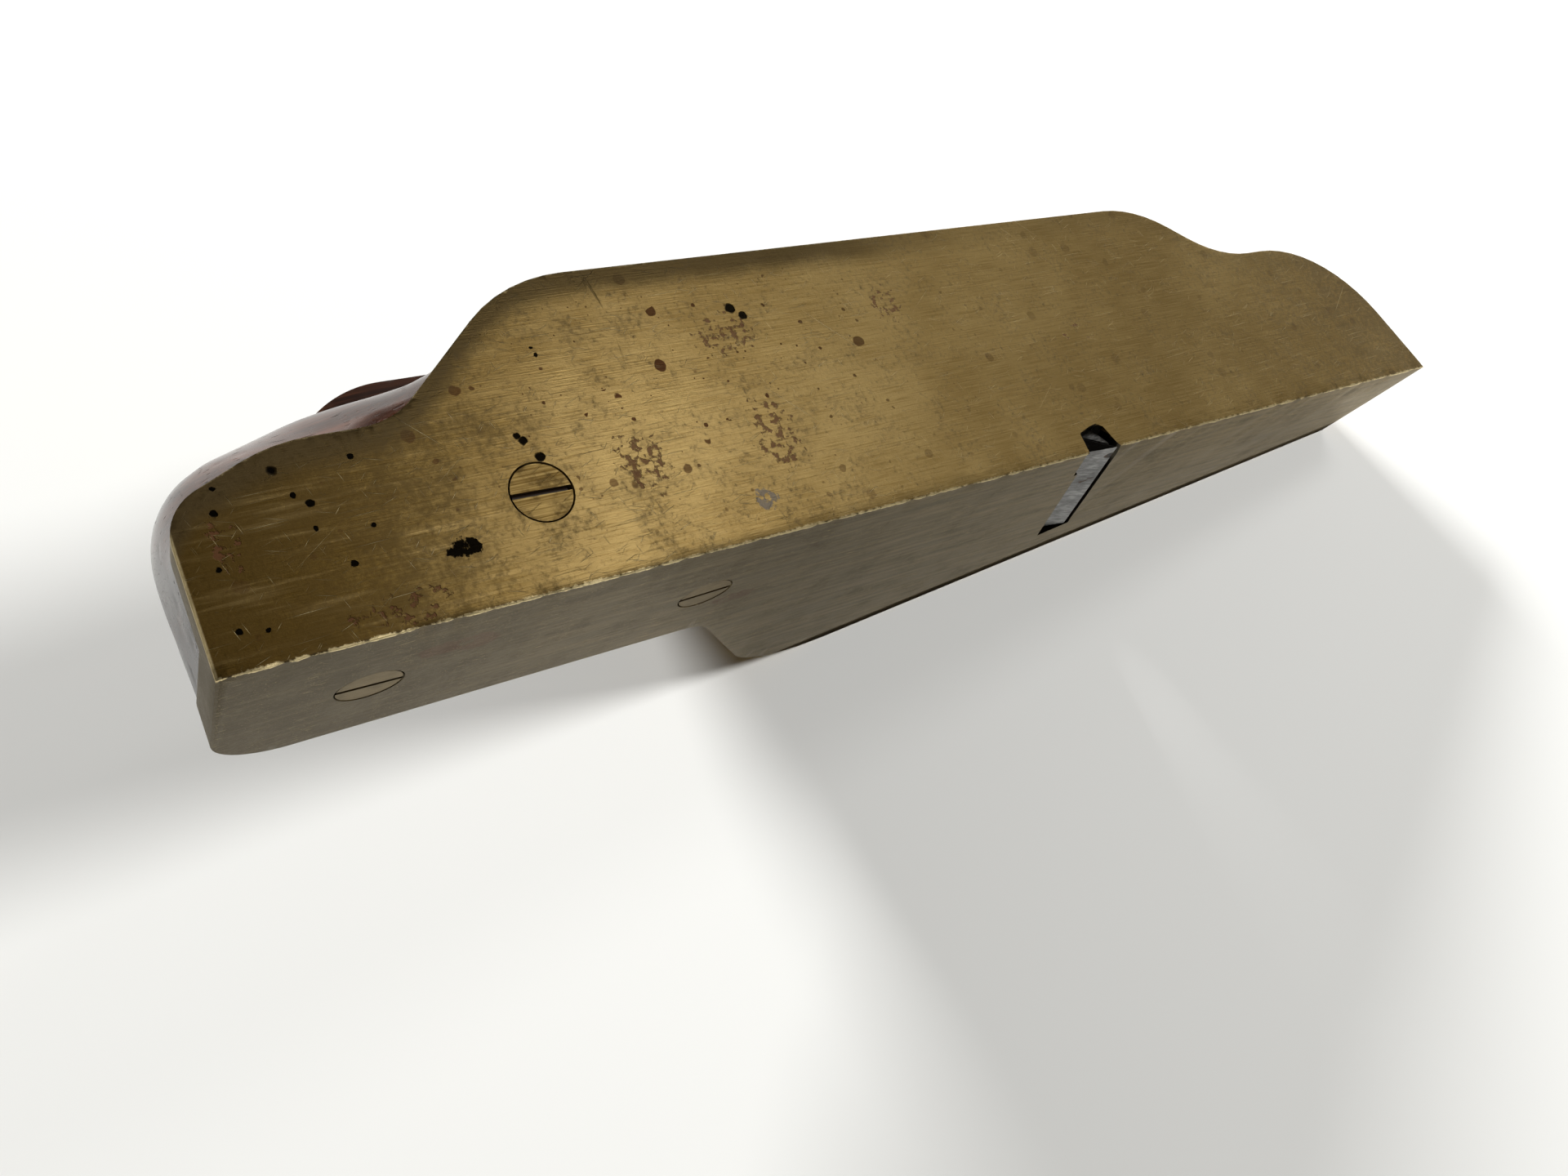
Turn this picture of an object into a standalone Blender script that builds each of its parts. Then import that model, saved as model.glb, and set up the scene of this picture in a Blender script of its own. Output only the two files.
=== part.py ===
"""Skew-mouth infill plane: a gunmetal casting stuffed with dark wood.

Frame: metres, +Z up, the sole on z = 0, +X towards the toe, the flat near
cheek facing -Y, the origin in the middle of the footprint.
"""
import math

import bmesh
import bpy
from mathutils import Matrix, Vector

# Driving dimensions
LENGTH = 0.205            # heel to toe along the sole
REAR_WIDTH = 0.0294       # narrow grip end
CHEEK = 0.0046            # near cheek thickness
FAR_WALL = 0.0036         # oblique far cheek thickness
TOE_WALL = 0.0040
SOLE = 0.0050             # sole plate thickness
EDGE_BEVEL = 0.00030      # broken edges of the casting
FIT = 0.0003              # gap between pieces that touch
HEAD_FIT = 0.00012        # hairline round the filed screw heads

# Heights of the side profile
HEEL_SHOULDER = 0.0181   # where the heel turns into the rising top
HEEL_TOP = 0.0235
PLATEAU = 0.0398
NOSE_TOP = 0.0282

# Cutting iron and its seat
PITCH = math.radians(38)  # bed angle
SKEW = math.radians(27)   # turn of the iron in plan
GRIND = math.radians(25)
IRON_WIDTH = 0.0370
IRON_THICK = 0.0026
IRON_LENGTH = 0.0900
EDGE_X = 0.1242           # near corner of the cutting edge
EDGE_Y = 0.0003
EDGE_Z = 0.0001
MOUTH_FRONT = 0.0007      # opening ahead of the edge
MOUTH_REAR = 0.0052       # blunt rear lip behind the edge

# Cap iron, its screw and the wedge, along the bed from the edge
CAP_THICK = 0.0020
CAP_SETBACK = 0.0012
CAP_LENGTH = 0.0830
SCREW_UP = 0.0420
SCREW_RADIUS = 0.0027
BOSS_RADIUS = 0.0050
BOSS_HEIGHT = 0.0024
HEAD_RADIUS = 0.0055
HEAD_HEIGHT = 0.0030
SLOT_END = 0.0560
WEDGE_START = 0.0155
WEDGE_END = 0.0740
WEDGE_TOE = 0.0025        # thickness at its thin end
WEDGE_TAPER = math.tan(math.radians(5))
WEDGE_SIDE = 0.0012       # how far it is narrower than the iron, each side
FORK_WIDTH = 0.0114
BRIDGE_START = 0.0220
BRIDGE_WIDTH = 0.0080

# Wood screws, all filed flush: place, head diameter, slot angle in degrees
SIDE_SCREW = (0.0376, 0.0119, 0.0072, 2.0)
SOLE_SCREW_REAR = (0.0164, 0.0149, 0.0075, 4.0)
SOLE_SCREW_FRONT = (0.0600, 0.0156, 0.0073, -5.0)
SHANK_RADIUS = 0.0021
SHANK_LENGTH = 0.0145

GRIP_FRONT = 0.0636       # joint between the grip and the bed block
GRIP_BULGE = 0.0009       # crown of the grip behind the casting's heel
COMB_TOP = 0.0421         # raised comb along the grip's far side
COMB_START = (0.0195, 0.0318)
COMB_SIDE = (0.0174, 0.0228)
COMB_ROUND = 0.0062

SIDE_PROFILE = [          # x, z, corner radius of the near cheek's outline
    (0.0, 0.0, 0.0),
    (0.0, HEEL_SHOULDER, 0.0062),
    (0.0119, HEEL_TOP, 0.0185),
    (0.0247, HEEL_TOP, 0.0100),
    (0.0432, PLATEAU, 0.0205),
    (0.1546, PLATEAU, 0.0203),
    (0.1691, NOSE_TOP, 0.0205),
    (0.1965, NOSE_TOP, 0.0225),
    (LENGTH, 0.0, 0.0),
]
PLAN = [                  # x, y, corner radius of the sole
    (0.0, 0.0, 0.0),
    (LENGTH, 0.0, 0.0),
    (0.2018, 0.0214, 0.0),
    (0.0900, 0.0666, 0.0189),
    (0.0652, REAR_WIDTH, 0.0062),
    (0.0, REAR_WIDTH, 0.0092),
]
FAR_CORNER = 3            # index of the wide corner in PLAN

FINISHES = {              # colour, metallic, roughness
    "gunmetal": ((0.50, 0.35, 0.15, 1.0), 1.0, 0.34),
    "dark_wood": ((0.070, 0.030, 0.016, 1.0), 0.0, 0.22),
    "tool_steel": ((0.23, 0.22, 0.20, 1.0), 1.0, 0.42),
    "screw_brass": ((0.45, 0.32, 0.14, 1.0), 1.0, 0.36),
}


def clear_scene():
    for item in list(bpy.data.objects):
        bpy.data.objects.remove(item, do_unlink=True)


def new_collection(name):
    group = bpy.data.collections.new(name)
    bpy.context.scene.collection.children.link(group)
    return group


def finish_material(name):
    found = bpy.data.materials.get(name)
    if found:
        return found
    colour, metallic, roughness = FINISHES[name]
    made = bpy.data.materials.new(name)
    made.use_nodes = True
    shader = made.node_tree.nodes["Principled BSDF"]
    shader.inputs["Base Color"].default_value = colour
    shader.inputs["Metallic"].default_value = metallic
    shader.inputs["Roughness"].default_value = roughness
    return made


# Outlines ------------------------------------------------------------------

def rounded(points, closed=True, step=math.radians(7)):
    """Polygon corners (u, v, radius) turned into points with round corners."""
    result = []
    count = len(points)
    for i, (u, v, radius) in enumerate(points):
        corner = Vector((u, v))
        at_end = not closed and i in (0, count - 1)
        if radius == 0.0 or at_end:
            result.append(corner)
            continue
        before = (corner - Vector(points[i - 1][:2])).normalized()
        after = (Vector(points[(i + 1) % count][:2]) - corner).normalized()
        turn = math.atan2(before.x * after.y - before.y * after.x, before.dot(after))
        start = corner - before * radius * math.tan(abs(turn) / 2)
        side = math.copysign(1.0, turn)
        hub = start + Vector((-before.y, before.x)) * radius * side
        pieces = max(2, math.ceil(abs(turn) / step))
        for k in range(pieces + 1):
            spin = Matrix.Rotation(turn * k / pieces, 2)
            result.append(hub + spin @ (start - hub))
    return result


def inset(points, distances):
    """Move each edge of a counter-clockwise polygon inwards by its distance."""
    count = len(points)
    lines = []
    for i in range(count):
        start = Vector(points[i][:2])
        along = (Vector(points[(i + 1) % count][:2]) - start).normalized()
        inward = Vector((-along.y, along.x))
        lines.append((start + inward * distances[i], along))
    result = []
    for i in range(count):
        p, d = lines[i - 1]
        q, e = lines[i]
        reach = ((q - p).x * e.y - (q - p).y * e.x) / (d.x * e.y - d.y * e.x)
        corner = p + d * reach
        radius = points[i][2]
        radius = max(radius - distances[i], 0.0005) if radius else 0.0
        result.append((corner.x, corner.y, radius))
    return result


# Solids --------------------------------------------------------------------

def add_object(name, mesh, group, finish=None, matrix=Matrix()):
    item = bpy.data.objects.new(name, mesh)
    item.matrix_world = matrix
    group.objects.link(item)
    if finish:
        mesh.materials.append(finish_material(finish))
    return item


def prism_mesh(name, outline, low, high):
    """A flat outline carried straight up from low to high."""
    curve = bpy.data.curves.new(name, "CURVE")
    curve.dimensions = "2D"
    curve.fill_mode = "BOTH"
    curve.extrude = (high - low) / 2
    spline = curve.splines.new("POLY")
    spline.points.add(len(outline) - 1)
    for point, place in zip(spline.points, outline):
        point.co = (place[0], place[1], 0.0, 1.0)
    spline.use_cyclic_u = True
    holder = bpy.data.objects.new(name, curve)
    bpy.context.scene.collection.objects.link(holder)
    graph = bpy.context.evaluated_depsgraph_get()
    mesh = bpy.data.meshes.new_from_object(holder.evaluated_get(graph))
    bpy.data.objects.remove(holder, do_unlink=True)
    shape = bmesh.new()
    shape.from_mesh(mesh)
    bmesh.ops.remove_doubles(shape, verts=shape.verts, dist=1e-6)
    bmesh.ops.translate(shape, verts=shape.verts, vec=(0, 0, (low + high) / 2))
    bmesh.ops.dissolve_limit(shape, angle_limit=0.001, verts=shape.verts, edges=shape.edges)
    bmesh.ops.recalc_face_normals(shape, faces=shape.faces)
    shape.to_mesh(mesh)
    shape.free()
    mesh.name = name
    return mesh


def cylinder_mesh(name, low_radius, high_radius, low, high, sides=48):
    shape = bmesh.new()
    bmesh.ops.create_cone(
        shape, cap_ends=True, segments=sides, radius1=low_radius, radius2=high_radius,
        depth=high - low, matrix=Matrix.Translation((0, 0, (low + high) / 2)))
    mesh = bpy.data.meshes.new(name)
    shape.to_mesh(mesh)
    shape.free()
    return mesh


def box_mesh(name, low, high):
    outline = [(low[0], low[1]), (high[0], low[1]), (high[0], high[1]), (low[0], high[1])]
    return prism_mesh(name, outline, low[2], high[2])


def boolean(item, tool, how="DIFFERENCE"):
    cut = item.modifiers.new(tool.name, "BOOLEAN")
    cut.operation = how
    cut.solver = "EXACT"
    cut.object = tool


def bevel(item, width, segments=2, angle=35):
    edge = item.modifiers.new("edges", "BEVEL")
    edge.width = width
    edge.segments = segments
    edge.limit_method = "ANGLE"
    edge.angle_limit = math.radians(angle)


def smooth(item, angle=35):
    item.data.shade_smooth()
    item.data.set_sharp_from_angle(angle=math.radians(angle))


def hide_cutter(item):
    item.hide_render = True
    item.display_type = "WIRE"
    return item


# Frames --------------------------------------------------------------------

# Drawn x, y and height become world x, z and depth into the body.
UPRIGHT = Matrix(((1, 0, 0, 0), (0, 0, 1, 0), (0, 1, 0, 0), (0, 0, 0, 1)))
# Drawn up the bed and out of it, carried across the iron.
BED_SECTION = Matrix(((0, 0, 1, 0), (1, 0, 0, 0), (0, 1, 0, 0), (0, 0, 0, 1)))


def bed_frame():
    """Across the iron, up the bed, out of the bed; the origin on the edge."""
    across = Vector((math.sin(SKEW), math.cos(SKEW), 0))
    back = Vector((-math.cos(SKEW), math.sin(SKEW), 0))
    up = back * math.cos(PITCH) + Vector((0, 0, math.sin(PITCH)))
    out = across.cross(up)
    frame = Matrix((across, up, out)).transposed().to_4x4()
    frame.translation = (EDGE_X, EDGE_Y, EDGE_Z)
    return frame


def section_frame():
    """Up the bed and out of it drawn flat; the drawing is carried across."""
    return bed_frame() @ BED_SECTION


def level_frame():
    """Distance behind the edge and height; the drawing is carried across."""
    across = Vector((math.sin(SKEW), math.cos(SKEW), 0))
    back = Vector((-math.cos(SKEW), math.sin(SKEW), 0))
    frame = Matrix((back, Vector((0, 0, 1)), -across)).transposed().to_4x4()
    frame.translation = (EDGE_X, EDGE_Y, EDGE_Z)
    return frame


def bed_to_level(up, out):
    """A point of the bed section as distance behind the edge and height."""
    back = math.cos(PITCH) * up - math.sin(PITCH) * out
    return back, math.sin(PITCH) * up + math.cos(PITCH) * out


def wedge_top(up):
    """Height of the wedge's upper face over the iron's back."""
    base = FIT + CAP_THICK + FIT
    return base + WEDGE_TOE + WEDGE_TAPER * (up - WEDGE_START)


# Casting -------------------------------------------------------------------

def box_plan():
    """Plan of the wide front part, from the grip joint to the toe."""
    far, step = Vector(PLAN[FAR_CORNER][:2]), Vector(PLAN[FAR_CORNER + 1][:2])
    slope = (far - step) / (far - step).x
    foot = step + slope * (GRIP_FRONT - step.x)
    return [
        (GRIP_FRONT, 0.0, 0.0),
        PLAN[1],
        PLAN[2],
        PLAN[FAR_CORNER],
        (foot.x, foot.y, 0.0),
    ]


def inner_plan(gap=0.0, joint_gap=0.0):
    walls = [CHEEK + gap, TOE_WALL + gap, FAR_WALL + gap, FAR_WALL + gap, joint_gap]
    return rounded(inset(box_plan(), walls))


def mouth_section():
    """Slot through the sole plate: a blunt lip, and above it the bed."""
    back, height = bed_to_level(0, -IRON_THICK - FIT)
    lip = height + math.tan(PITCH) * (MOUTH_REAR - back)
    top = 0.0032
    below = -0.002
    return [(MOUTH_REAR, below), (MOUTH_REAR, lip),
            (MOUTH_REAR + (top - lip) / math.tan(PITCH), top),
            (-MOUTH_FRONT, top), (-MOUTH_FRONT, below)]


def throat_section():
    """The slot widens above the mouth so that shavings can rise."""
    low, high = 0.0030, SOLE + 0.002
    rear = [bed_to_level(up, -IRON_THICK - FIT) for up in (0.008, 0.014)]
    return [rear[0], rear[1], (-0.0040, high), (-MOUTH_FRONT, low)]


def iron_pocket_section():
    """Clearance in the near cheek for the corner of the iron and its cap."""
    low = -IRON_THICK - FIT
    return [(-0.001, low), (0.024, low), (0.024, 0.0042), (0.009, 0.0042),
            (0.001, 0.0007), (-0.001, FIT)]


def side_hole_section():
    """Small six-sided window where the iron's corner meets the near face."""
    return [(0.0059, -0.001), (0.0056, 0.0029), (0.0050, 0.0034), (0.0031, 0.0040),
            (0.0018, 0.0042), (0.0008, 0.0035), (0.0002, 0.0016), (-0.0007, -0.001)]


def bridge_section():
    """Bar over the wedge, its underside parallel to the wedge's top."""
    ups = (BRIDGE_START, BRIDGE_START + BRIDGE_WIDTH)
    under = [bed_to_level(up, wedge_top(up) + FIT) for up in ups]
    front, rear = under[0][0], under[1][0]
    crown = PLATEAU - 0.0008
    return [under[0], under[1], (rear, crown - 0.0015), (rear - 0.0015, crown),
            (front + 0.0015, crown), (front, crown - 0.0015)]


def countersink(name, place, matrix, group):
    head = place[2] / 2 + HEAD_FIT
    sink = cylinder_mesh(name, head + 0.0002, SHANK_RADIUS + FIT, -0.0002, 0.0031, 40)
    tool = hide_cutter(add_object(name, sink, group, matrix=matrix))
    bore = cylinder_mesh(name + "_bore", SHANK_RADIUS + FIT, SHANK_RADIUS + FIT,
                         -0.001, SHANK_LENGTH + 0.001, 40)
    drill = hide_cutter(add_object(name + "_bore", bore, group, matrix=matrix))
    return tool, drill


def screw_frames():
    """Each screw points into the wood along its own +Z."""
    side = Matrix.Translation((SIDE_SCREW[0], 0, SIDE_SCREW[1]))
    side = side @ Matrix.Rotation(math.radians(-90), 4, "X")
    frames = {"side_screw": (SIDE_SCREW, side)}
    for name, place in (("sole_screw_rear", SOLE_SCREW_REAR),
                        ("sole_screw_front", SOLE_SCREW_FRONT)):
        frames[name] = (place, Matrix.Translation((place[0], place[1], 0)))
    return frames


def make_casting(parts, cutters, drills):
    plan = prism_mesh("body_casting", rounded(PLAN), 0.0, 0.05)
    body = add_object("body_casting", plan, parts, "gunmetal")
    profile = prism_mesh("cut_profile", rounded(SIDE_PROFILE), -0.01, 0.09)
    boolean(body, hide_cutter(add_object("cut_profile", profile, cutters, matrix=UPRIGHT)),
            "INTERSECT")
    bevel(body, EDGE_BEVEL)
    cavity = prism_mesh("cut_cavity", inner_plan(), SOLE, 0.06)
    boolean(body, hide_cutter(add_object("cut_cavity", cavity, cutters)))
    grip = box_mesh("cut_grip", (-0.02, CHEEK, SOLE), (GRIP_FRONT + 0.0001, 0.05, 0.06))
    boolean(body, hide_cutter(add_object("cut_grip", grip, cutters)))
    level = level_frame()
    mouth = prism_mesh("cut_mouth", mouth_section(), -IRON_WIDTH - 0.0005, -0.0053)
    boolean(body, hide_cutter(add_object("cut_mouth", mouth, cutters, matrix=level)))
    throat = prism_mesh("cut_throat", throat_section(), -IRON_WIDTH - 0.0005, -0.0066)
    boolean(body, hide_cutter(add_object("cut_throat", throat, cutters, matrix=level)))
    pocket = prism_mesh("cut_pocket", iron_pocket_section(), -FIT, IRON_WIDTH + FIT)
    boolean(body, hide_cutter(add_object("cut_pocket", pocket, cutters,
                                         matrix=section_frame())))
    relief = box_mesh("cut_relief", (IRON_WIDTH - 0.004, 0.030, -IRON_THICK - FIT),
                      (IRON_WIDTH + FIT, 0.080, 0.004))
    boolean(body, hide_cutter(add_object("cut_relief", relief, cutters, matrix=bed_frame())))
    window = prism_mesh("cut_window", side_hole_section(), -CHEEK - 0.0012, 0.003)
    boolean(body, hide_cutter(add_object("cut_window", window, cutters, matrix=level)))
    bridge = prism_mesh("add_bridge", bridge_section(), -0.0535, 0.0015)
    add = hide_cutter(add_object("add_bridge", bridge, cutters, matrix=level))
    keep = prism_mesh("keep_bridge", rounded(inset(PLAN, [0.002] * len(PLAN))), 0.0, 0.08)
    boolean(add, hide_cutter(add_object("keep_bridge", keep, cutters)), "INTERSECT")
    boolean(body, add, "UNION")
    for sink, drill in drills.values():
        boolean(body, sink)
        boolean(body, drill)
    return body


# Wood ----------------------------------------------------------------------

def resample(path, count):
    """Points spread evenly along an open path."""
    steps = [0.0]
    for a, b in zip(path, path[1:]):
        steps.append(steps[-1] + (b - a).length)
    result = []
    for k in range(count):
        goal = steps[-1] * k / (count - 1)
        i = max(j for j in range(len(path) - 1) if steps[j] <= goal + 1e-12)
        share = (goal - steps[i]) / max(steps[i + 1] - steps[i], 1e-9)
        result.append(path[i].lerp(path[i + 1], min(share, 1.0)))
    return result


def comb_share(x, y):
    """How far the skin is lifted to the comb's top: 0 to 1."""
    start, full = COMB_START
    behind = min(max((full - x) / (full - start), 0.0), 1.0)
    along = math.sqrt(1.0 - behind ** 2)
    rise = min(max((y - COMB_SIDE[0]) / (COMB_SIDE[1] - COMB_SIDE[0]), 0.0), 1.0)
    across = rise * rise * (3 - 2 * rise)
    over = max(y - (REAR_WIDTH - COMB_ROUND), 0.0) / COMB_ROUND
    return along * across * math.sqrt(max(1.0 - over ** 2, 0.0))


def grip_mesh(stations=54, strips=26):
    """A crowned palm grip: a skin between two edge lines and a crown line.

    The edge lines follow the cheek's outline; the crown line stands proud
    of them at the middle, and a parabola joins them across the width. A
    comb rises along the far side, and the far rear corner follows the
    rounded corner of the sole.
    """
    base = SOLE + FIT
    edge = [(0.0006, base, 0.0), (0.0006, HEEL_SHOULDER, 0.0062), (0.0119, HEEL_TOP, 0.0185),
            (0.0247, HEEL_TOP, 0.0100), (0.0432, PLATEAU, 0.0205),
            (GRIP_FRONT - FIT, PLATEAU, 0.0)]
    crown = [(0.0002, base, 0.0), (-GRIP_BULGE, 0.0278, 0.0120), (0.0200, 0.0349, 0.0300),
             (0.0390, 0.0356, 0.0200), (0.0520, 0.0404, 0.0200),
             (GRIP_FRONT - FIT, 0.0404, 0.0)]
    edge = resample(rounded(edge, closed=False), stations)
    crown = resample(rounded(crown, closed=False), stations)
    near, far = CHEEK + FIT, REAR_WIDTH - 0.0001
    corner = PLAN[5][2]
    shape = bmesh.new()
    rows = []
    for e, c in zip(edge, crown):
        row = []
        for k in range(strips + 1):
            across = k / strips
            bulge = 4 * across * (1 - across)
            place = e.lerp(c, bulge)
            y = near + (far - near) * across
            over = max(y - (far - corner), 0.0)
            shift = corner - math.sqrt(max(corner ** 2 - over ** 2, 0.0))
            fade = max(0.0, 1.0 - max(place.x, 0.0) / (3 * corner))
            lift = comb_share(place.x, y) * max(COMB_TOP - place.y, 0.0)
            row.append(shape.verts.new((place.x + shift * fade, y, place.y + lift)))
        rows.append(row)
    for lower, upper in zip(rows, rows[1:]):
        for k in range(strips):
            shape.faces.new((lower[k], lower[k + 1], upper[k + 1], upper[k]))
    front = GRIP_FRONT - FIT
    foot_near = shape.verts.new((front, near, base))
    foot_far = shape.verts.new((front, far, base))
    shape.faces.new([row[0] for row in rows] + [foot_near])
    shape.faces.new([row[-1] for row in reversed(rows)] + [foot_far])
    shape.faces.new(rows[0] + [foot_far, foot_near])
    shape.faces.new(rows[-1][::-1] + [foot_near, foot_far])
    bmesh.ops.recalc_face_normals(shape, faces=shape.faces)
    mesh = bpy.data.meshes.new("rear_infill")
    shape.to_mesh(mesh)
    shape.free()
    return mesh


def make_wood(parts, cutters, drills):
    grip = add_object("rear_infill", grip_mesh(), parts, "dark_wood")
    for _, drill in drills.values():
        boolean(grip, drill)
    smooth(grip)
    bed = prism_mesh("bed_infill", inner_plan(FIT, FIT), SOLE + FIT, PLATEAU + 0.0004)
    bed = add_object("bed_infill", bed, parts, "dark_wood")
    bevel(bed, 0.0012, 3, 60)
    above = box_mesh("cut_above_bed", (-0.05, -0.06, -IRON_THICK - FIT), (0.09, 0.12, 0.20))
    boolean(bed, hide_cutter(add_object("cut_above_bed", above, cutters, matrix=bed_frame())))
    room = HEAD_RADIUS + 0.0006
    low = -IRON_THICK - FIT - HEAD_HEIGHT - 0.0006
    groove = box_mesh("cut_head_groove", (IRON_WIDTH / 2 - room, SCREW_UP - room - 0.001, low),
                      (IRON_WIDTH / 2 + room, 0.10, 0.0))
    boolean(bed, hide_cutter(add_object("cut_head_groove", groove, cutters,
                                        matrix=bed_frame())))
    front = prism_mesh("front_infill", inner_plan(FIT, FIT), SOLE + FIT, 0.05)
    front = add_object("front_infill", front, parts, "dark_wood")
    lowered = [(u, v - 0.0003 if v else v, r) for u, v, r in SIDE_PROFILE]
    skin = prism_mesh("cut_front_profile", rounded(lowered), -0.01, 0.09)
    boolean(front, hide_cutter(add_object("cut_front_profile", skin, cutters,
                                          matrix=UPRIGHT)), "INTERSECT")
    lean = math.tan(math.radians(14))
    start, top = 0.0045, 0.055
    rear = [(-start, SOLE - 0.001), (-start - lean * top, top), (0.20, top),
            (0.20, SOLE - 0.001)]
    clear = prism_mesh("cut_front_rear", rear, -0.09, 0.05)
    boolean(front, hide_cutter(add_object("cut_front_rear", clear, cutters,
                                          matrix=level_frame())))


# Iron, cap iron and wedge --------------------------------------------------

def bar_mesh(name, section, low, high):
    """A section drawn up and out of the bed, carried across it."""
    mesh = prism_mesh(name, section, low, high)
    mesh.transform(BED_SECTION)
    return mesh


def lens_outline(width, length, start, corner):
    """Plate outline seen from above, with clipped tail corners."""
    return [(0, start), (width, start), (width, length - corner),
            (width - corner, length), (corner, length), (0, length - corner)]


def slot_outline(radius, low, high, centre):
    """A slot with round ends along the bed."""
    outline = []
    for middle, start in ((low, math.pi), (high, 0.0)):
        for k in range(13):
            angle = start + math.pi * k / 12
            outline.append((centre + radius * math.cos(angle), middle + radius * math.sin(angle)))
    return outline


def make_iron(parts, cutters):
    section = [(0.0, 0.0), (IRON_THICK / math.tan(GRIND), -IRON_THICK),
               (IRON_LENGTH, -IRON_THICK), (IRON_LENGTH, 0.0)]
    mesh = bar_mesh("cutting_iron", section, 0.0, IRON_WIDTH)
    iron = add_object("cutting_iron", mesh, parts, "tool_steel", bed_frame())
    keep = prism_mesh("keep_iron", lens_outline(IRON_WIDTH, IRON_LENGTH, -0.01, 0.006),
                      -0.02, 0.02)
    boolean(iron, hide_cutter(add_object("keep_iron", keep, cutters, matrix=bed_frame())),
            "INTERSECT")
    slot = prism_mesh("cut_iron_slot", slot_outline(SCREW_RADIUS + 0.0006, SCREW_UP - 0.003,
                      SLOT_END, IRON_WIDTH / 2), -0.02, 0.02)
    boolean(iron, hide_cutter(add_object("cut_iron_slot", slot, cutters,
                                         matrix=bed_frame())))
    return iron


def make_cap_iron(parts, cutters):
    top = FIT + CAP_THICK
    section = [(CAP_SETBACK, FIT), (CAP_LENGTH, FIT), (CAP_LENGTH, top), (0.0140, top),
               (0.0110, top + 0.0001), (0.0080, top + 0.0001), (0.0050, top - 0.0003),
               (0.0030, top - 0.0010), (CAP_SETBACK + 0.0003, FIT + 0.0003)]
    mesh = bar_mesh("cap_iron", section, 0.0004, IRON_WIDTH - 0.0004)
    cap = add_object("cap_iron", mesh, parts, "tool_steel", bed_frame())
    keep = prism_mesh("keep_cap", lens_outline(IRON_WIDTH, CAP_LENGTH, -0.01, 0.009),
                      -0.02, 0.02)
    boolean(cap, hide_cutter(add_object("keep_cap", keep, cutters, matrix=bed_frame())),
            "INTERSECT")
    hub = bed_frame() @ Matrix.Translation((IRON_WIDTH / 2, SCREW_UP, 0))
    boss = cylinder_mesh("add_boss", BOSS_RADIUS, BOSS_RADIUS - 0.0003, FIT + 0.0005,
                         top + BOSS_HEIGHT, 40)
    boolean(cap, hide_cutter(add_object("add_boss", boss, cutters, matrix=hub)), "UNION")
    bore = cylinder_mesh("cut_boss", SCREW_RADIUS + 0.0001, SCREW_RADIUS + 0.0001,
                         -0.01, 0.02, 40)
    boolean(cap, hide_cutter(add_object("cut_boss", bore, cutters, matrix=hub)))
    return cap


def make_cap_screw(parts, cutters):
    hub = bed_frame() @ Matrix.Translation((IRON_WIDTH / 2, SCREW_UP, 0))
    seat = -IRON_THICK - FIT
    tip = FIT + CAP_THICK + BOSS_HEIGHT
    profile = [(0.0, tip), (SCREW_RADIUS - 0.0004, tip), (SCREW_RADIUS, tip - 0.0004),
               (SCREW_RADIUS, seat), (HEAD_RADIUS, seat),
               (HEAD_RADIUS, seat - HEAD_HEIGHT + 0.0008),
               (HEAD_RADIUS - 0.0008, seat - HEAD_HEIGHT), (0.0, seat - HEAD_HEIGHT)]
    mesh = bpy.data.meshes.new("cap_screw")
    mesh.from_pydata([(r, 0, z) for r, z in profile],
                     [(i, i + 1) for i in range(len(profile) - 1)], [])
    screw = add_object("cap_screw", mesh, parts, "tool_steel", hub)
    turn = screw.modifiers.new("turn", "SCREW")
    turn.steps = 40
    turn.render_steps = 40
    turn.use_merge_vertices = True
    turn.merge_threshold = 0.00001
    slit = box_mesh("cut_cap_slit", (-0.008, -0.0006, seat - HEAD_HEIGHT - 0.001),
                    (0.008, 0.0006, seat - HEAD_HEIGHT + 0.0014))
    boolean(screw, hide_cutter(add_object("cut_cap_slit", slit, cutters, matrix=hub)))
    smooth(screw)
    return screw


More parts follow.
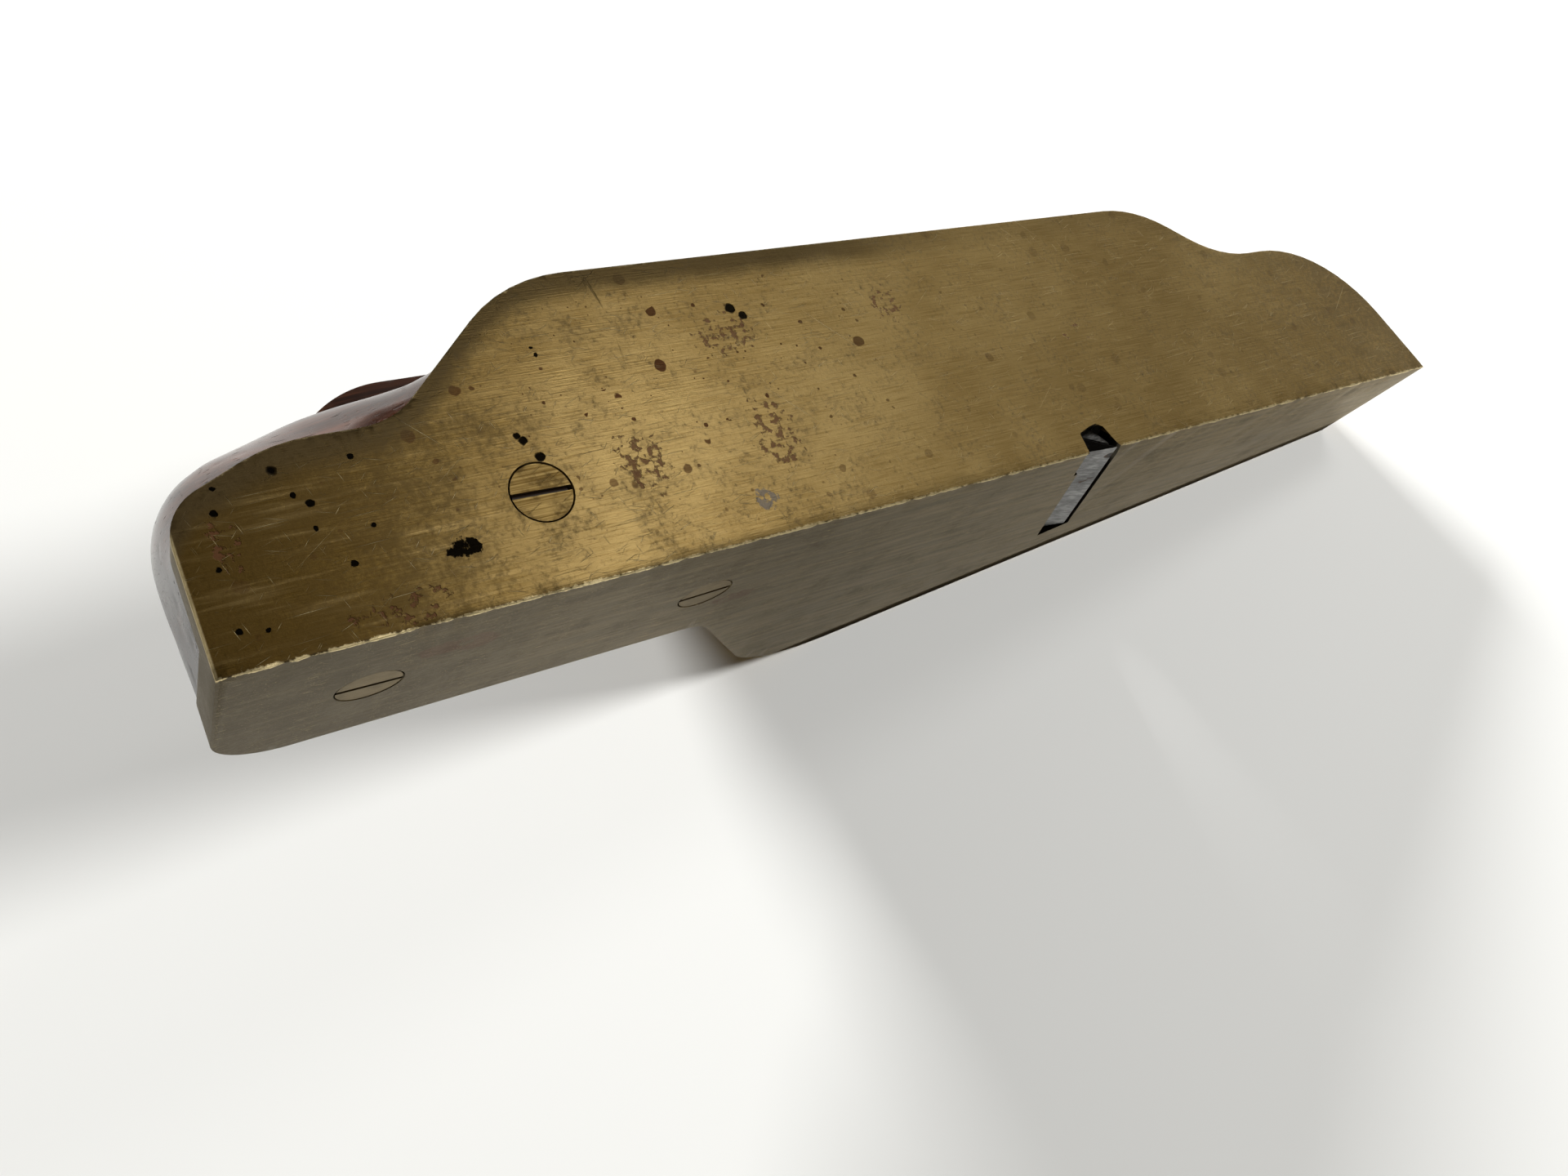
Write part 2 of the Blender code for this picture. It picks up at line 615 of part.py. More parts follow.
def make_wedge(parts, cutters):
    base = FIT + CAP_THICK + FIT
    section = [(WEDGE_START, base), (WEDGE_END - 0.003, base), (WEDGE_END, base + 0.003),
               (WEDGE_END - 0.0006, wedge_top(WEDGE_END) - 0.0030),
               (WEDGE_END - 0.0040, wedge_top(WEDGE_END - 0.0040)),
               (WEDGE_START + 0.0006, wedge_top(WEDGE_START)),
               (WEDGE_START, base + 0.0015)]
    mesh = bar_mesh("wedge", section, WEDGE_SIDE, IRON_WIDTH - WEDGE_SIDE)
    wedge = add_object("wedge", mesh, parts, "dark_wood", bed_frame())
    outline = [(0, 0), (IRON_WIDTH, 0), (IRON_WIDTH, WEDGE_END - 0.010),
               (IRON_WIDTH - 0.004, WEDGE_END - 0.003), (IRON_WIDTH / 2, WEDGE_END + 0.0005),
               (0.004, WEDGE_END - 0.003), (0, WEDGE_END - 0.010)]
    keep = prism_mesh("keep_wedge", outline, -0.02, 0.03)
    boolean(wedge, hide_cutter(add_object("keep_wedge", keep, cutters, matrix=bed_frame())),
            "INTERSECT")
    middle = IRON_WIDTH / 2
    fork = box_mesh("cut_fork", (middle - FORK_WIDTH / 2, 0.0, -0.01),
                    (middle + FORK_WIDTH / 2, SCREW_UP + BOSS_RADIUS + 0.001, 0.03))
    boolean(wedge, hide_cutter(add_object("cut_fork", fork, cutters, matrix=bed_frame())))
    groove = box_mesh("cut_wedge_groove", (middle - FORK_WIDTH / 2, SCREW_UP, -0.01),
                      (middle + FORK_WIDTH / 2, 0.10, base + BOSS_HEIGHT + 0.0004))
    boolean(wedge, hide_cutter(add_object("cut_wedge_groove", groove, cutters,
                                          matrix=bed_frame())))
    return wedge


# Wood screws ---------------------------------------------------------------

def make_wood_screw(name, place, matrix, parts, cutters):
    """Countersunk head filed flush, plain shank, blunt point."""
    head = place[2] / 2
    flush = 0.00006
    profile = [(0.0, SHANK_LENGTH), (0.0006, SHANK_LENGTH), (SHANK_RADIUS, SHANK_LENGTH - 0.003),
               (SHANK_RADIUS, 0.0027), (head, flush + 0.0002), (head, flush), (0.0, flush)]
    mesh = bpy.data.meshes.new(name)
    mesh.from_pydata([(r, 0, z) for r, z in profile],
                     [(i, i + 1) for i in range(len(profile) - 1)], [])
    screw = add_object(name, mesh, parts, "screw_brass", matrix)
    turn = screw.modifiers.new("turn", "SCREW")
    turn.steps = 40
    turn.render_steps = 40
    turn.use_merge_vertices = True
    turn.merge_threshold = 0.00001
    tool = name.replace("screw", "slit")
    slit = box_mesh(tool, (-0.006, -0.00032, -0.001), (0.006, 0.00032, 0.0007))
    aim = matrix @ Matrix.Rotation(math.radians(place[3]), 4, "Z")
    boolean(screw, hide_cutter(add_object(tool, slit, cutters, matrix=aim)))
    smooth(screw)


def centre_footprint(groups):
    """Move everything so that the origin is in the middle of the footprint."""
    graph = bpy.context.evaluated_depsgraph_get()
    places = []
    for item in groups[0].objects:
        shape = item.evaluated_get(graph).to_mesh()
        places += [item.matrix_world @ corner.co for corner in shape.vertices]
    middle = Vector([(min(p[i] for p in places) + max(p[i] for p in places)) / 2
                     for i in range(2)] + [0.0])
    for group in groups:
        for item in group.objects:
            item.matrix_world = Matrix.Translation(-middle) @ item.matrix_world


def main():
    clear_scene()
    parts = new_collection("skew_infill_plane")
    cutters = new_collection("cutters")
    drills = {}
    for name, (place, matrix) in screw_frames().items():
        drills[name] = countersink("sink_" + name, place, matrix, cutters)
        make_wood_screw(name, place, matrix, parts, cutters)
    make_casting(parts, cutters, drills)
    make_wood(parts, cutters, drills)
    make_iron(parts, cutters)
    make_cap_iron(parts, cutters)
    make_cap_screw(parts, cutters)
    make_wedge(parts, cutters)
    centre_footprint((parts, cutters))


main()
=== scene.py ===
import math

import bmesh
import bpy
import numpy as np
from mathutils import Matrix, Vector


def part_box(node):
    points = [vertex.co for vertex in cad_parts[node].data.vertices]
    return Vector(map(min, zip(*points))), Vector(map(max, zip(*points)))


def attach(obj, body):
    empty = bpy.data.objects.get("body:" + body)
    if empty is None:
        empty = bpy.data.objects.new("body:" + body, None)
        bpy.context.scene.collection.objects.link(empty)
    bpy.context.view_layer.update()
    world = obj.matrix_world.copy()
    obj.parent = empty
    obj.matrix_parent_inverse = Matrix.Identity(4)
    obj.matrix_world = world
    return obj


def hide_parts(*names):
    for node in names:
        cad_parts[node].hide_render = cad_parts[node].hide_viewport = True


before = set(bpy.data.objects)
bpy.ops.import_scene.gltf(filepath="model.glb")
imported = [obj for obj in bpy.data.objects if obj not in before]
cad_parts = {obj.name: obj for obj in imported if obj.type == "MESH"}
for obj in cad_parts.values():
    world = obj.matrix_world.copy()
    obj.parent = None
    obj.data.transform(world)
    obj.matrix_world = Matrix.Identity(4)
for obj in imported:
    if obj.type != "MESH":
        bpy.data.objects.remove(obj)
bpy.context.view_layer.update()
print("frame loaded:", len(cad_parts), "nodes")

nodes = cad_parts
castLow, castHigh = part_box("body_casting")
heel = Vector((castLow.x, castLow.y, 0.0))  # near lower corner of the heel
length = castHigh.x - castLow.x             # heel to toe


camera = {
    "lens": 28.375,       # millimetres on a 36 mm wide sensor
    "place": (-0.0715, -0.5840, -0.1954),  # from the heel corner, in sole lengths
    "right": (0.8196, -0.4082, -0.4021),
    "up": (0.2364, -0.3984, 0.8862),
}


def makeCamera(settings):
    data = bpy.data.cameras.new("camera")
    data.lens = settings["lens"]
    data.sensor_width = 36.0
    data.clip_start = 0.005
    data.clip_end = 20.0
    right = Vector(settings["right"]).normalized()
    up = Vector(settings["up"])
    up = (up - right * up.dot(right)).normalized()
    turn = Matrix((right, up, right.cross(up))).transposed().to_4x4()
    eye = bpy.data.objects.new("camera", data)
    eye.matrix_world = Matrix.Translation(heel + Vector(settings["place"]) * length) @ turn
    bpy.context.scene.collection.objects.link(eye)
    bpy.context.scene.camera = eye
    return eye


eye = makeCamera(camera)
bpy.context.scene.view_settings.view_transform = "Standard"  # whites stay white
eyeTurn = eye.matrix_world.to_3x3()
print("camera placed")


def add(tree, kind, values=None, **settings):
    # A node with its settings, and its inputs set to a value or linked to a socket.
    made = tree.nodes.new(kind)
    for key, value in settings.items():
        setattr(made, key, value)
    for key, value in (values or {}).items():
        if isinstance(value, bpy.types.NodeSocket):
            tree.links.new(value, made.inputs[key])
        else:
            made.inputs[key].default_value = value
    return made


def maths(tree, operation, first, second=0.0, third=None, clamp=False):
    values = {0: first, 1: second}
    if third is not None:
        values[2] = third
    return add(tree, "ShaderNodeMath", values, operation=operation, use_clamp=clamp).outputs[0]


def remap(tree, value, low, high, toLow=0.0, toHigh=1.0):
    # A smooth step from low to high.
    return add(tree, "ShaderNodeMapRange", {"Value": value, "From Min": low, "From Max": high,
               "To Min": toLow, "To Max": toHigh}, interpolation_type="SMOOTHSTEP").outputs[0]


def blend(tree, mask, first, second, kind="MIX"):
    made = add(tree, "ShaderNodeMix", {0: mask}, data_type="RGBA", blend_type=kind)
    for slot, value in ((6, first), (7, second)):
        if isinstance(value, bpy.types.NodeSocket):
            tree.links.new(value, made.inputs[slot])
        else:
            made.inputs[slot].default_value = (*value, 1.0)
    return made.outputs[2]


def newGroup(name, inputs, outputs):
    tree = bpy.data.node_groups.new(name, "ShaderNodeTree")
    for label, kind, value in inputs:
        socket = tree.interface.new_socket(name=label, in_out="INPUT", socket_type=kind)
        if value is not None:
            socket.default_value = value
    for label, kind in outputs:
        tree.interface.new_socket(name=label, in_out="OUTPUT", socket_type=kind)
    return tree, tree.nodes.new("NodeGroupInput"), tree.nodes.new("NodeGroupOutput")


def use(tree, group, values=None):
    made = add(tree, "ShaderNodeGroup", node_tree=group)
    for key, value in (values or {}).items():
        if isinstance(value, bpy.types.NodeSocket):
            tree.links.new(value, made.inputs[key])
        else:
            made.inputs[key].default_value = value
    return made.outputs


vec, num = "NodeSocketVector", "NodeSocketFloat"


def streakGroup():
    # Fine lines along X: noise squeezed across, stretched along.
    tree, given, out = newGroup("lengthwise_streaks", [
        ("Place", vec, None), ("Along", num, 30.0), ("Across", num, 2500.0)], [("Mask", num)])
    scale = add(tree, "ShaderNodeCombineXYZ", {0: given.outputs["Along"],
                1: given.outputs["Across"], 2: given.outputs["Across"]})
    spread = add(tree, "ShaderNodeVectorMath", {0: given.outputs["Place"], 1: scale.outputs[0]},
                 operation="MULTIPLY")
    lines = add(tree, "ShaderNodeTexNoise", {"Vector": spread.outputs[0], "Scale": 1.0,
                "Detail": 3.0, "Roughness": 0.6})
    tree.links.new(lines.outputs["Fac"], out.inputs["Mask"])
    return tree


def scratchGroup():
    # Straight short scratches: thin ridges of a noise that is stretched one way.
    tree, given, out = newGroup("scratches", [
        ("Place", vec, None), ("Turn", vec, (0, 0, 0)), ("Along", num, 60.0),
        ("Across", num, 900.0), ("Amount", num, 0.05)], [("Mask", num)])
    turned = add(tree, "ShaderNodeVectorRotate", {"Vector": given.outputs["Place"],
                 "Rotation": given.outputs["Turn"]}, rotation_type="EULER_XYZ")
    scale = add(tree, "ShaderNodeCombineXYZ", {0: given.outputs["Along"],
                1: given.outputs["Across"], 2: given.outputs["Across"]})
    spread = add(tree, "ShaderNodeVectorMath", {0: turned.outputs[0], 1: scale.outputs[0]},
                 operation="MULTIPLY")
    lines = add(tree, "ShaderNodeTexVoronoi", {"Vector": spread.outputs[0], "Scale": 1.0},
                feature="F1", distance="EUCLIDEAN")
    pick = add(tree, "ShaderNodeSeparateColor", {0: lines.outputs["Color"]})
    chosen = maths(tree, "LESS_THAN", pick.outputs[0], given.outputs["Amount"])
    thin = remap(tree, lines.outputs["Distance"], 0.30, 0.10)
    uneven = maths(tree, "MULTIPLY_ADD", pick.outputs[1], 0.8, 0.2)
    shown = maths(tree, "MULTIPLY", chosen, uneven)
    tree.links.new(maths(tree, "MULTIPLY", shown, thin), out.inputs["Mask"])
    return tree


def pitGroup():
    # Round dots of uneven size on a few cells of a Voronoi pattern.
    tree, given, out = newGroup("pits", [
        ("Place", vec, None), ("Scale", num, 150.0), ("Amount", num, 0.1), ("Size", num, 0.3)],
        [("Mask", num)])
    warp = add(tree, "ShaderNodeTexNoise", {"Vector": given.outputs["Place"], "Scale": 700.0,
               "Detail": 2.0})
    moved = add(tree, "ShaderNodeVectorMath", {0: warp.outputs["Color"], 1: (0.0006,) * 3,
                2: given.outputs["Place"]}, operation="MULTIPLY_ADD")
    cells = add(tree, "ShaderNodeTexVoronoi", {"Vector": moved.outputs[0],
                "Scale": given.outputs["Scale"]})
    pick = add(tree, "ShaderNodeSeparateColor", {0: cells.outputs["Color"]})
    chosen = maths(tree, "LESS_THAN", pick.outputs[0], given.outputs["Amount"])
    reach = maths(tree, "MULTIPLY", pick.outputs[1], given.outputs["Size"])
    near = maths(tree, "SUBTRACT", reach, cells.outputs["Distance"])
    dots = remap(tree, near, 0.0, 0.06)
    tree.links.new(maths(tree, "MULTIPLY", chosen, dots), out.inputs["Mask"])
    return tree


def patchGroup():
    # A broken-up stain round one place: noise that fades out with distance.
    tree, given, out = newGroup("stain_patch", [
        ("Place", vec, None), ("Centre", vec, (0, 0, 0)), ("Reach", vec, (0.01, 0.01, 0.01)),
        ("Grain", num, 400.0), ("Cover", num, 0.5)], [("Mask", num), ("Halo", num)])
    away = add(tree, "ShaderNodeVectorMath", {0: given.outputs["Place"],
               1: given.outputs["Centre"]}, operation="SUBTRACT")
    ratio = add(tree, "ShaderNodeVectorMath", {0: away.outputs[0], 1: given.outputs["Reach"]},
                operation="DIVIDE")
    far = add(tree, "ShaderNodeVectorMath", {0: ratio.outputs[0]}, operation="LENGTH")
    halo = remap(tree, far.outputs["Value"], 1.0, 0.2)
    grain = add(tree, "ShaderNodeTexNoise", {"Vector": given.outputs["Place"],
                "Scale": given.outputs["Grain"], "Detail": 4.0, "Roughness": 0.62})
    level = maths(tree, "MULTIPLY", halo, given.outputs["Cover"])
    floor = maths(tree, "SUBTRACT", 1.0, level)
    high = maths(tree, "ADD", floor, 0.06)
    mask = add(tree, "ShaderNodeMapRange", {"Value": grain.outputs["Fac"], "From Min": floor,
               "From Max": high}, interpolation_type="SMOOTHSTEP")
    tree.links.new(mask.outputs[0], out.inputs["Mask"])
    tree.links.new(halo, out.inputs["Halo"])
    return tree


def spotGroup():
    # One round hole or blot at a place, 1 inside its radius.
    tree, given, out = newGroup("spot", [("Place", vec, None), ("Centre", vec, (0, 0, 0)),
                                         ("Radius", num, 0.001)], [("Mask", num)])
    gap = add(tree, "ShaderNodeVectorMath", {0: given.outputs["Place"],
              1: given.outputs["Centre"]}, operation="DISTANCE").outputs["Value"]
    share = maths(tree, "DIVIDE", gap, given.outputs["Radius"])
    tree.links.new(remap(tree, share, 1.05, 0.75), out.inputs["Mask"])
    return tree


streaks = streakGroup()
scratches = scratchGroup()
pits = pitGroup()
stainPatch = patchGroup()
spot = spotGroup()


def newMaterial(name):
    made = bpy.data.materials.new(name)
    made.use_nodes = True
    tree = made.node_tree
    shader = tree.nodes["Principled BSDF"]
    place = add(tree, "ShaderNodeTexCoord").outputs["Object"]
    return made, tree, shader, place


def fromHeel(tree, place):
    # the same place counted from the heel's near lower corner, whole and in parts
    moved = add(tree, "ShaderNodeVectorMath", {0: place, 1: tuple(heel)}, operation="SUBTRACT")
    parts = add(tree, "ShaderNodeSeparateXYZ", {0: moved.outputs[0]}).outputs
    return moved.outputs[0], parts[0], parts[1], parts[2]


def noise(tree, place, scale, detail=4.0, rough=0.6):
    return add(tree, "ShaderNodeTexNoise", {"Vector": place, "Scale": scale, "Detail": detail,
               "Roughness": rough}).outputs["Fac"]


def anyOf(tree, masks):
    total = masks[0]
    for mask in masks[1:]:
        total = maths(tree, "MAXIMUM", total, mask)
    return total


def product(tree, *masks):
    total = masks[0]
    for mask in masks[1:]:
        total = maths(tree, "MULTIPLY", total, mask)
    return total


def bump(tree, height, strength, distance):
    return add(tree, "ShaderNodeBump", {"Height": height, "Strength": strength,
               "Distance": distance}).outputs[0]


brass = {
    "deep": (0.255, 0.160, 0.046),
    "light": (0.49, 0.345, 0.135),
    "worn": (0.86, 0.70, 0.38),
    # painted shade: deep brown that the cheek darkens to towards the heel
    "heelShade": (0.075, 0.040, 0.004),
    "tarnish": (0.085, 0.058, 0.024),
    "rust": (0.060, 0.022, 0.009),
    # near black: soot in the holes, and painted shade on the insides
    "sootAndShade": (0.006, 0.005, 0.004),
    "sole": (0.215, 0.165, 0.092),
    "soleDark": (0.055, 0.040, 0.020),
    "end": (0.10, 0.082, 0.055),
    "glance": (0.91, 0.87, 0.78, 1.0),  # tint of the metal seen edge-on
    "rough": 0.34,
    "holes": [  # millimetres from the heel and above the sole, then radius
        (37.8, 18.5, 0.62), (37.3, 19.2, 0.45), (39.0, 16.1, 0.70), (12.2, 17.2, 0.38),
        (13.5, 16.0, 0.55), (13.2, 13.1, 0.36), (18.8, 12.2, 0.36), (15.6, 8.5, 0.46),
        (3.3, 10.9, 0.36), (3.2, 4.2, 0.45), (5.8, 3.7, 0.30), (5.1, 19.5, 0.36),
        (4.5, 16.8, 0.50), (19.0, 20.4, 0.44), (71.5, 31.6, 0.85), (72.9, 30.3, 0.75),
        (43.2, 30.1, 0.30), (43.4, 29.0, 0.34)],
    "rusty": [  # centre and reach in millimetres, grain, cover
        ((96.1, 28.9), (6.4, 8.6), 950.0, 0.49), ((51.0, 13.0), (8.0, 10.5), 800.0, 0.50),
        ((70.0, 13.0), (9.0, 13.0), 900.0, 0.49), ((69.0, 28.0), (13.0, 8.0), 1100.0, 0.48),
        ((19.0, 2.6), (14.0, 5.0), 620.0, 0.47), ((4.6, 13.5), (4.5, 9.0), 700.0, 0.48),
        ((128.0, 19.0), (10.0, 6.0), 800.0, 0.43)],
    "jagged": ((27.0, 7.4), (4.6, 3.4), 520.0, 0.565),
    "greyed": ((64.4, 4.8), (3.6, 3.4), 700.0, 0.60),
    "upright": ((57.0, 33.5), (11.0, 9.5)),
    "soleStains": [((27.0, 9.0), (16.0, 5.0), 150.0, 0.62), ((66.0, 20.5), (9.0, 4.0), 260.0, 0.64)],
}


def cheekPoint(x, z):
    # millimetres on the near cheek, as a place counted from the heel corner
    return (x / 1000, 0.0, z / 1000)


def castingPaint(settings):
    # brushed and tarnished gunmetal: bright wear over a browned, pitted skin
    made, tree, shader, place = newMaterial("gunmetal")
    here, x, y, z = fromHeel(tree, place)
    wander = add(tree, "ShaderNodeTexNoise", {"Vector": here, "Scale": 1100.0, "Detail": 2.0})
    loose = add(tree, "ShaderNodeVectorMath", {0: wander.outputs["Color"], 1: (0.0005,) * 3,
                2: here}, operation="MULTIPLY_ADD").outputs[0]
    loose = add(tree, "ShaderNodeVectorMath", {0: loose, 1: (0.00025,) * 3},
                operation="SUBTRACT").outputs[0]
    cheek = remap(tree, y, 0.0009, 0.0003)
    under = remap(tree, z, 0.0004, 0.0001)
    broad = noise(tree, here, 38.0, 3.0)
    cloudy = noise(tree, here, 170.0, 5.0, 0.66)
    fine = noise(tree, here, 1300.0, 3.0, 0.7)
    brushed = use(tree, streaks, {"Place": here, "Along": 150.0, "Across": 5600.0})["Mask"]
    long = use(tree, streaks, {"Place": here, "Along": 60.0, "Across": 900.0})["Mask"]

    colour = blend(tree, remap(tree, broad, 0.34, 0.66, 0.32, 0.85), settings["deep"],
                   settings["light"])
    colour = blend(tree, product(tree, remap(tree, brushed, 0.46, 0.68), 0.62), colour,
                   settings["light"])
    colour = blend(tree, product(tree, remap(tree, brushed, 0.50, 0.34), 0.58), colour,
                   settings["deep"])
    ends = anyOf(tree, [remap(tree, x, 0.048, 0.004), remap(tree, x, 0.150, 0.206)])
    grains = maths(tree, "ADD", maths(tree, "MULTIPLY", fine, 0.55),
                   maths(tree, "MULTIPLY", cloudy, 0.45))
    cover = maths(tree, "ADD", maths(tree, "MULTIPLY", ends, 0.12), grains)
    tarnish = remap(tree, cover, 0.48, 0.66)
    colour = blend(tree, product(tree, tarnish, 0.60), colour, settings["tarnish"])
    # painted shade: the cheek darkens to deep brown towards the heel, streaked lengthwise
    heelShade = product(tree, remap(tree, x, 0.060, 0.004), remap(tree, long, 0.15, 0.50), 0.86)
    colour = blend(tree, heelShade, colour, settings["heelShade"])
    speckled = use(tree, stainPatch, {"Place": here, "Centre": cheekPoint(62.0, 24.0),
                   "Reach": (0.060, 0.002, 0.028)})["Halo"]
    specks = anyOf(tree, [use(tree, pits, {"Place": here, "Scale": scale, "Amount": amount,
                   "Size": 0.42})["Mask"] for scale, amount in ((430.0, 0.26), (900.0, 0.34))])
    specks = product(tree, specks, maths(tree, "MULTIPLY_ADD", speckled, 0.70, 0.25))
    colour = blend(tree, product(tree, specks, cheek), colour, settings["rust"])
    freckle = product(tree, remap(tree, fine, 0.60, 0.72), remap(tree, cloudy, 0.42, 0.62), 0.70)
    colour = blend(tree, freckle, colour, settings["tarnish"])

    # sole plate: greyer, rubbed lengthwise, with stains towards the heel, and painted shade
    # darkening it towards the heel
    forward = maths(tree, "MULTIPLY_ADD", x, 2.6, maths(tree, "MULTIPLY", long, 0.9))
    soleTone = blend(tree, remap(tree, forward, 0.42, 1.12), settings["soleDark"],
                     settings["sole"])
    soleTone = blend(tree, product(tree, remap(tree, cloudy, 0.52, 0.70), 0.4), soleTone,
                     settings["soleDark"])
    stains = [use(tree, stainPatch, {"Place": here, "Centre": (cx / 1000, cy / 1000, 0.0),
              "Reach": (rx / 1000, ry / 1000, 0.01), "Grain": grain, "Cover": cover})["Mask"]
              for (cx, cy), (rx, ry), grain, cover in settings["soleStains"]]
    soleTone = blend(tree, product(tree, anyOf(tree, stains), 0.75), soleTone, settings["rust"])
    colour = blend(tree, under, colour, soleTone)

    # light scratches at several angles, and upright dark ones on the cheek
    light = []
    for turn, along, across, amount in ((0.05, 110.0, 7200.0, 0.14), (0.38, 240.0, 7000.0, 0.10),
                                        (-0.30, 210.0, 7400.0, 0.10), (0.85, 420.0, 7600.0, 0.10),
                                        (-1.25, 330.0, 7800.0, 0.07), (0.62, 60.0, 5200.0, 0.018),
                                        (-0.85, 55.0, 5000.0, 0.014)):
        light.append(use(tree, scratches, {"Place": here, "Turn": (0.0, turn, 0.0),
                     "Along": along, "Across": across, "Amount": amount})["Mask"])
    glint = product(tree, anyOf(tree, light), remap(tree, cloudy, 0.30, 0.55))
    colour = blend(tree, product(tree, glint, 0.62), colour, settings["worn"])
    (cx, cz), (rx, rz) = settings["upright"]
    region = use(tree, stainPatch, {"Place": here, "Centre": cheekPoint(cx, cz),
                 "Reach": (rx / 1000, 0.002, rz / 1000)})["Halo"]
    dark = anyOf(tree, [use(tree, scratches, {"Place": here, "Turn": (0.0, turn, 0.0),
                 "Along": 75.0, "Across": 1500.0, "Amount": 0.30})["Mask"]
                 for turn in (1.50, 1.72)])
    dark = product(tree, dark, region)
    colour = blend(tree, product(tree, dark, 0.75), colour, settings["tarnish"])

    # rust, holes and the browned band under the top outline
    rusts = [use(tree, stainPatch, {"Place": here, "Centre": cheekPoint(cx, cz),
             "Reach": (rx / 1000, 0.002, rz / 1000), "Grain": grain, "Cover": cover})["Mask"]
             for (cx, cz), (rx, rz), grain, cover in settings["rusty"]]
    rust = anyOf(tree, rusts)
    colour = blend(tree, product(tree, rust, 0.88), colour, settings["rust"])
    (cx, cz), (rx, rz), grain, cover = settings["greyed"]
    grey = use(tree, stainPatch, {"Place": loose, "Centre": cheekPoint(cx, cz), "Grain": grain,
               "Reach": (rx / 1000, 0.002, rz / 1000), "Cover": cover})["Mask"]
    colour = blend(tree, product(tree, grey, 0.8), colour, (0.13, 0.12, 0.11))
    rim = add(tree, "ShaderNodeAttribute", attribute_name="below_top").outputs["Fac"]
    band = remap(tree, maths(tree, "ADD", rim, maths(tree, "MULTIPLY", cloudy, 0.0032)),
                 0.0066, 0.0030)
    rear = remap(tree, x, 0.118, 0.085)
    browned = product(tree, band, cheek, maths(tree, "ADD", maths(tree, "MULTIPLY", rear, 0.72),
                      0.16))
    colour = blend(tree, browned, colour, settings["tarnish"])
    holes = [use(tree, spot, {"Place": loose, "Centre": cheekPoint(cx, cz),
             "Radius": radius / 1150})["Mask"] for cx, cz, radius in settings["holes"]]
    (cx, cz), (rx, rz), grain, cover = settings["jagged"]
    holes.append(use(tree, stainPatch, {"Place": loose, "Centre": cheekPoint(cx, cz),
                 "Reach": (rx / 1000, 0.002, rz / 1000), "Grain": grain, "Cover": cover})["Mask"])
    holes.append(use(tree, pits, {"Place": here, "Scale": 190.0, "Amount": 0.16,
                 "Size": 0.15})["Mask"])
    hole = anyOf(tree, holes)
    colour = blend(tree, product(tree, hole, 0.96), colour, settings["sootAndShade"])

    # edges rubbed bright
    off = add(tree, "ShaderNodeCombineXYZ", {1: y, 2: z})
    edge = add(tree, "ShaderNodeVectorMath", {0: off.outputs[0]}, operation="LENGTH")
    ragged = maths(tree, "ADD", edge.outputs["Value"], maths(tree, "MULTIPLY", fine, 0.0011))
    rubbed = remap(tree, ragged, 0.00092, 0.00066)
    top = remap(tree, maths(tree, "ADD", rim, maths(tree, "MULTIPLY", fine, 0.0010)),
                0.0007, 0.0004)
    heelEdge = product(tree, remap(tree, x, 0.00035, 0.00015), 0.6)
    bright = anyOf(tree, [rubbed, product(tree, top, cheek, 0.35), product(tree, heelEdge, cheek)])
    colour = blend(tree, product(tree, bright, 0.85), colour, settings["worn"])
    end = product(tree, remap(tree, x, 0.00045, 0.00020), remap(tree, y, 0.0004, 0.0008))
    colour = blend(tree, product(tree, end, 0.85), colour, settings["end"])
    # painted shade: faces marked inner, inside the mouth, window and hollow, go near black
    inner = add(tree, "ShaderNodeAttribute", attribute_name="inner").outputs["Fac"]
    colour = blend(tree, product(tree, inner, 0.97), colour, settings["sootAndShade"])
    tree.links.new(colour, shader.inputs["Base Color"])

    # holes and insides stay metal: a black metal shows less sheen than a black paint
    dull = anyOf(tree, [product(tree, rust, 0.8), product(tree, tarnish, 0.2)])
    tree.links.new(maths(tree, "SUBTRACT", 1.0, product(tree, dull, 0.85,
                   maths(tree, "SUBTRACT", 1.0, hole))), shader.inputs["Metallic"])
    foul = maths(tree, "MAXIMUM", dull, hole)
    rough = maths(tree, "ADD", settings["rough"], maths(tree, "MULTIPLY", cloudy, 0.12))
    rough = maths(tree, "ADD", rough, maths(tree, "MULTIPLY", foul, 0.30))
    rough = maths(tree, "SUBTRACT", rough, maths(tree, "MULTIPLY", bright, 0.10), clamp=True)
    tree.links.new(rough, shader.inputs["Roughness"])
    height = maths(tree, "MULTIPLY", brushed, 0.30)
    height = maths(tree, "ADD", height, maths(tree, "MULTIPLY", fine, 0.25))
    for mask, depth in ((glint, 0.5), (dark, 0.5), (rust, 0.7), (hole, 2.6)):
        height = maths(tree, "SUBTRACT", height, maths(tree, "MULTIPLY", mask, depth))
    tree.links.new(bump(tree, height, 0.75, 0.00012), shader.inputs["Normal"])
    shader.inputs["Specular Tint"].default_value = settings["glance"]
    return made


screwBrass = {
    "deep": (0.15, 0.092, 0.026),
    "light": (0.34, 0.235, 0.085),
    "tarnish": (0.075, 0.046, 0.016),
    "slot": (0.010, 0.006, 0.004),
    "sole": (0.11, 0.086, 0.052),
}


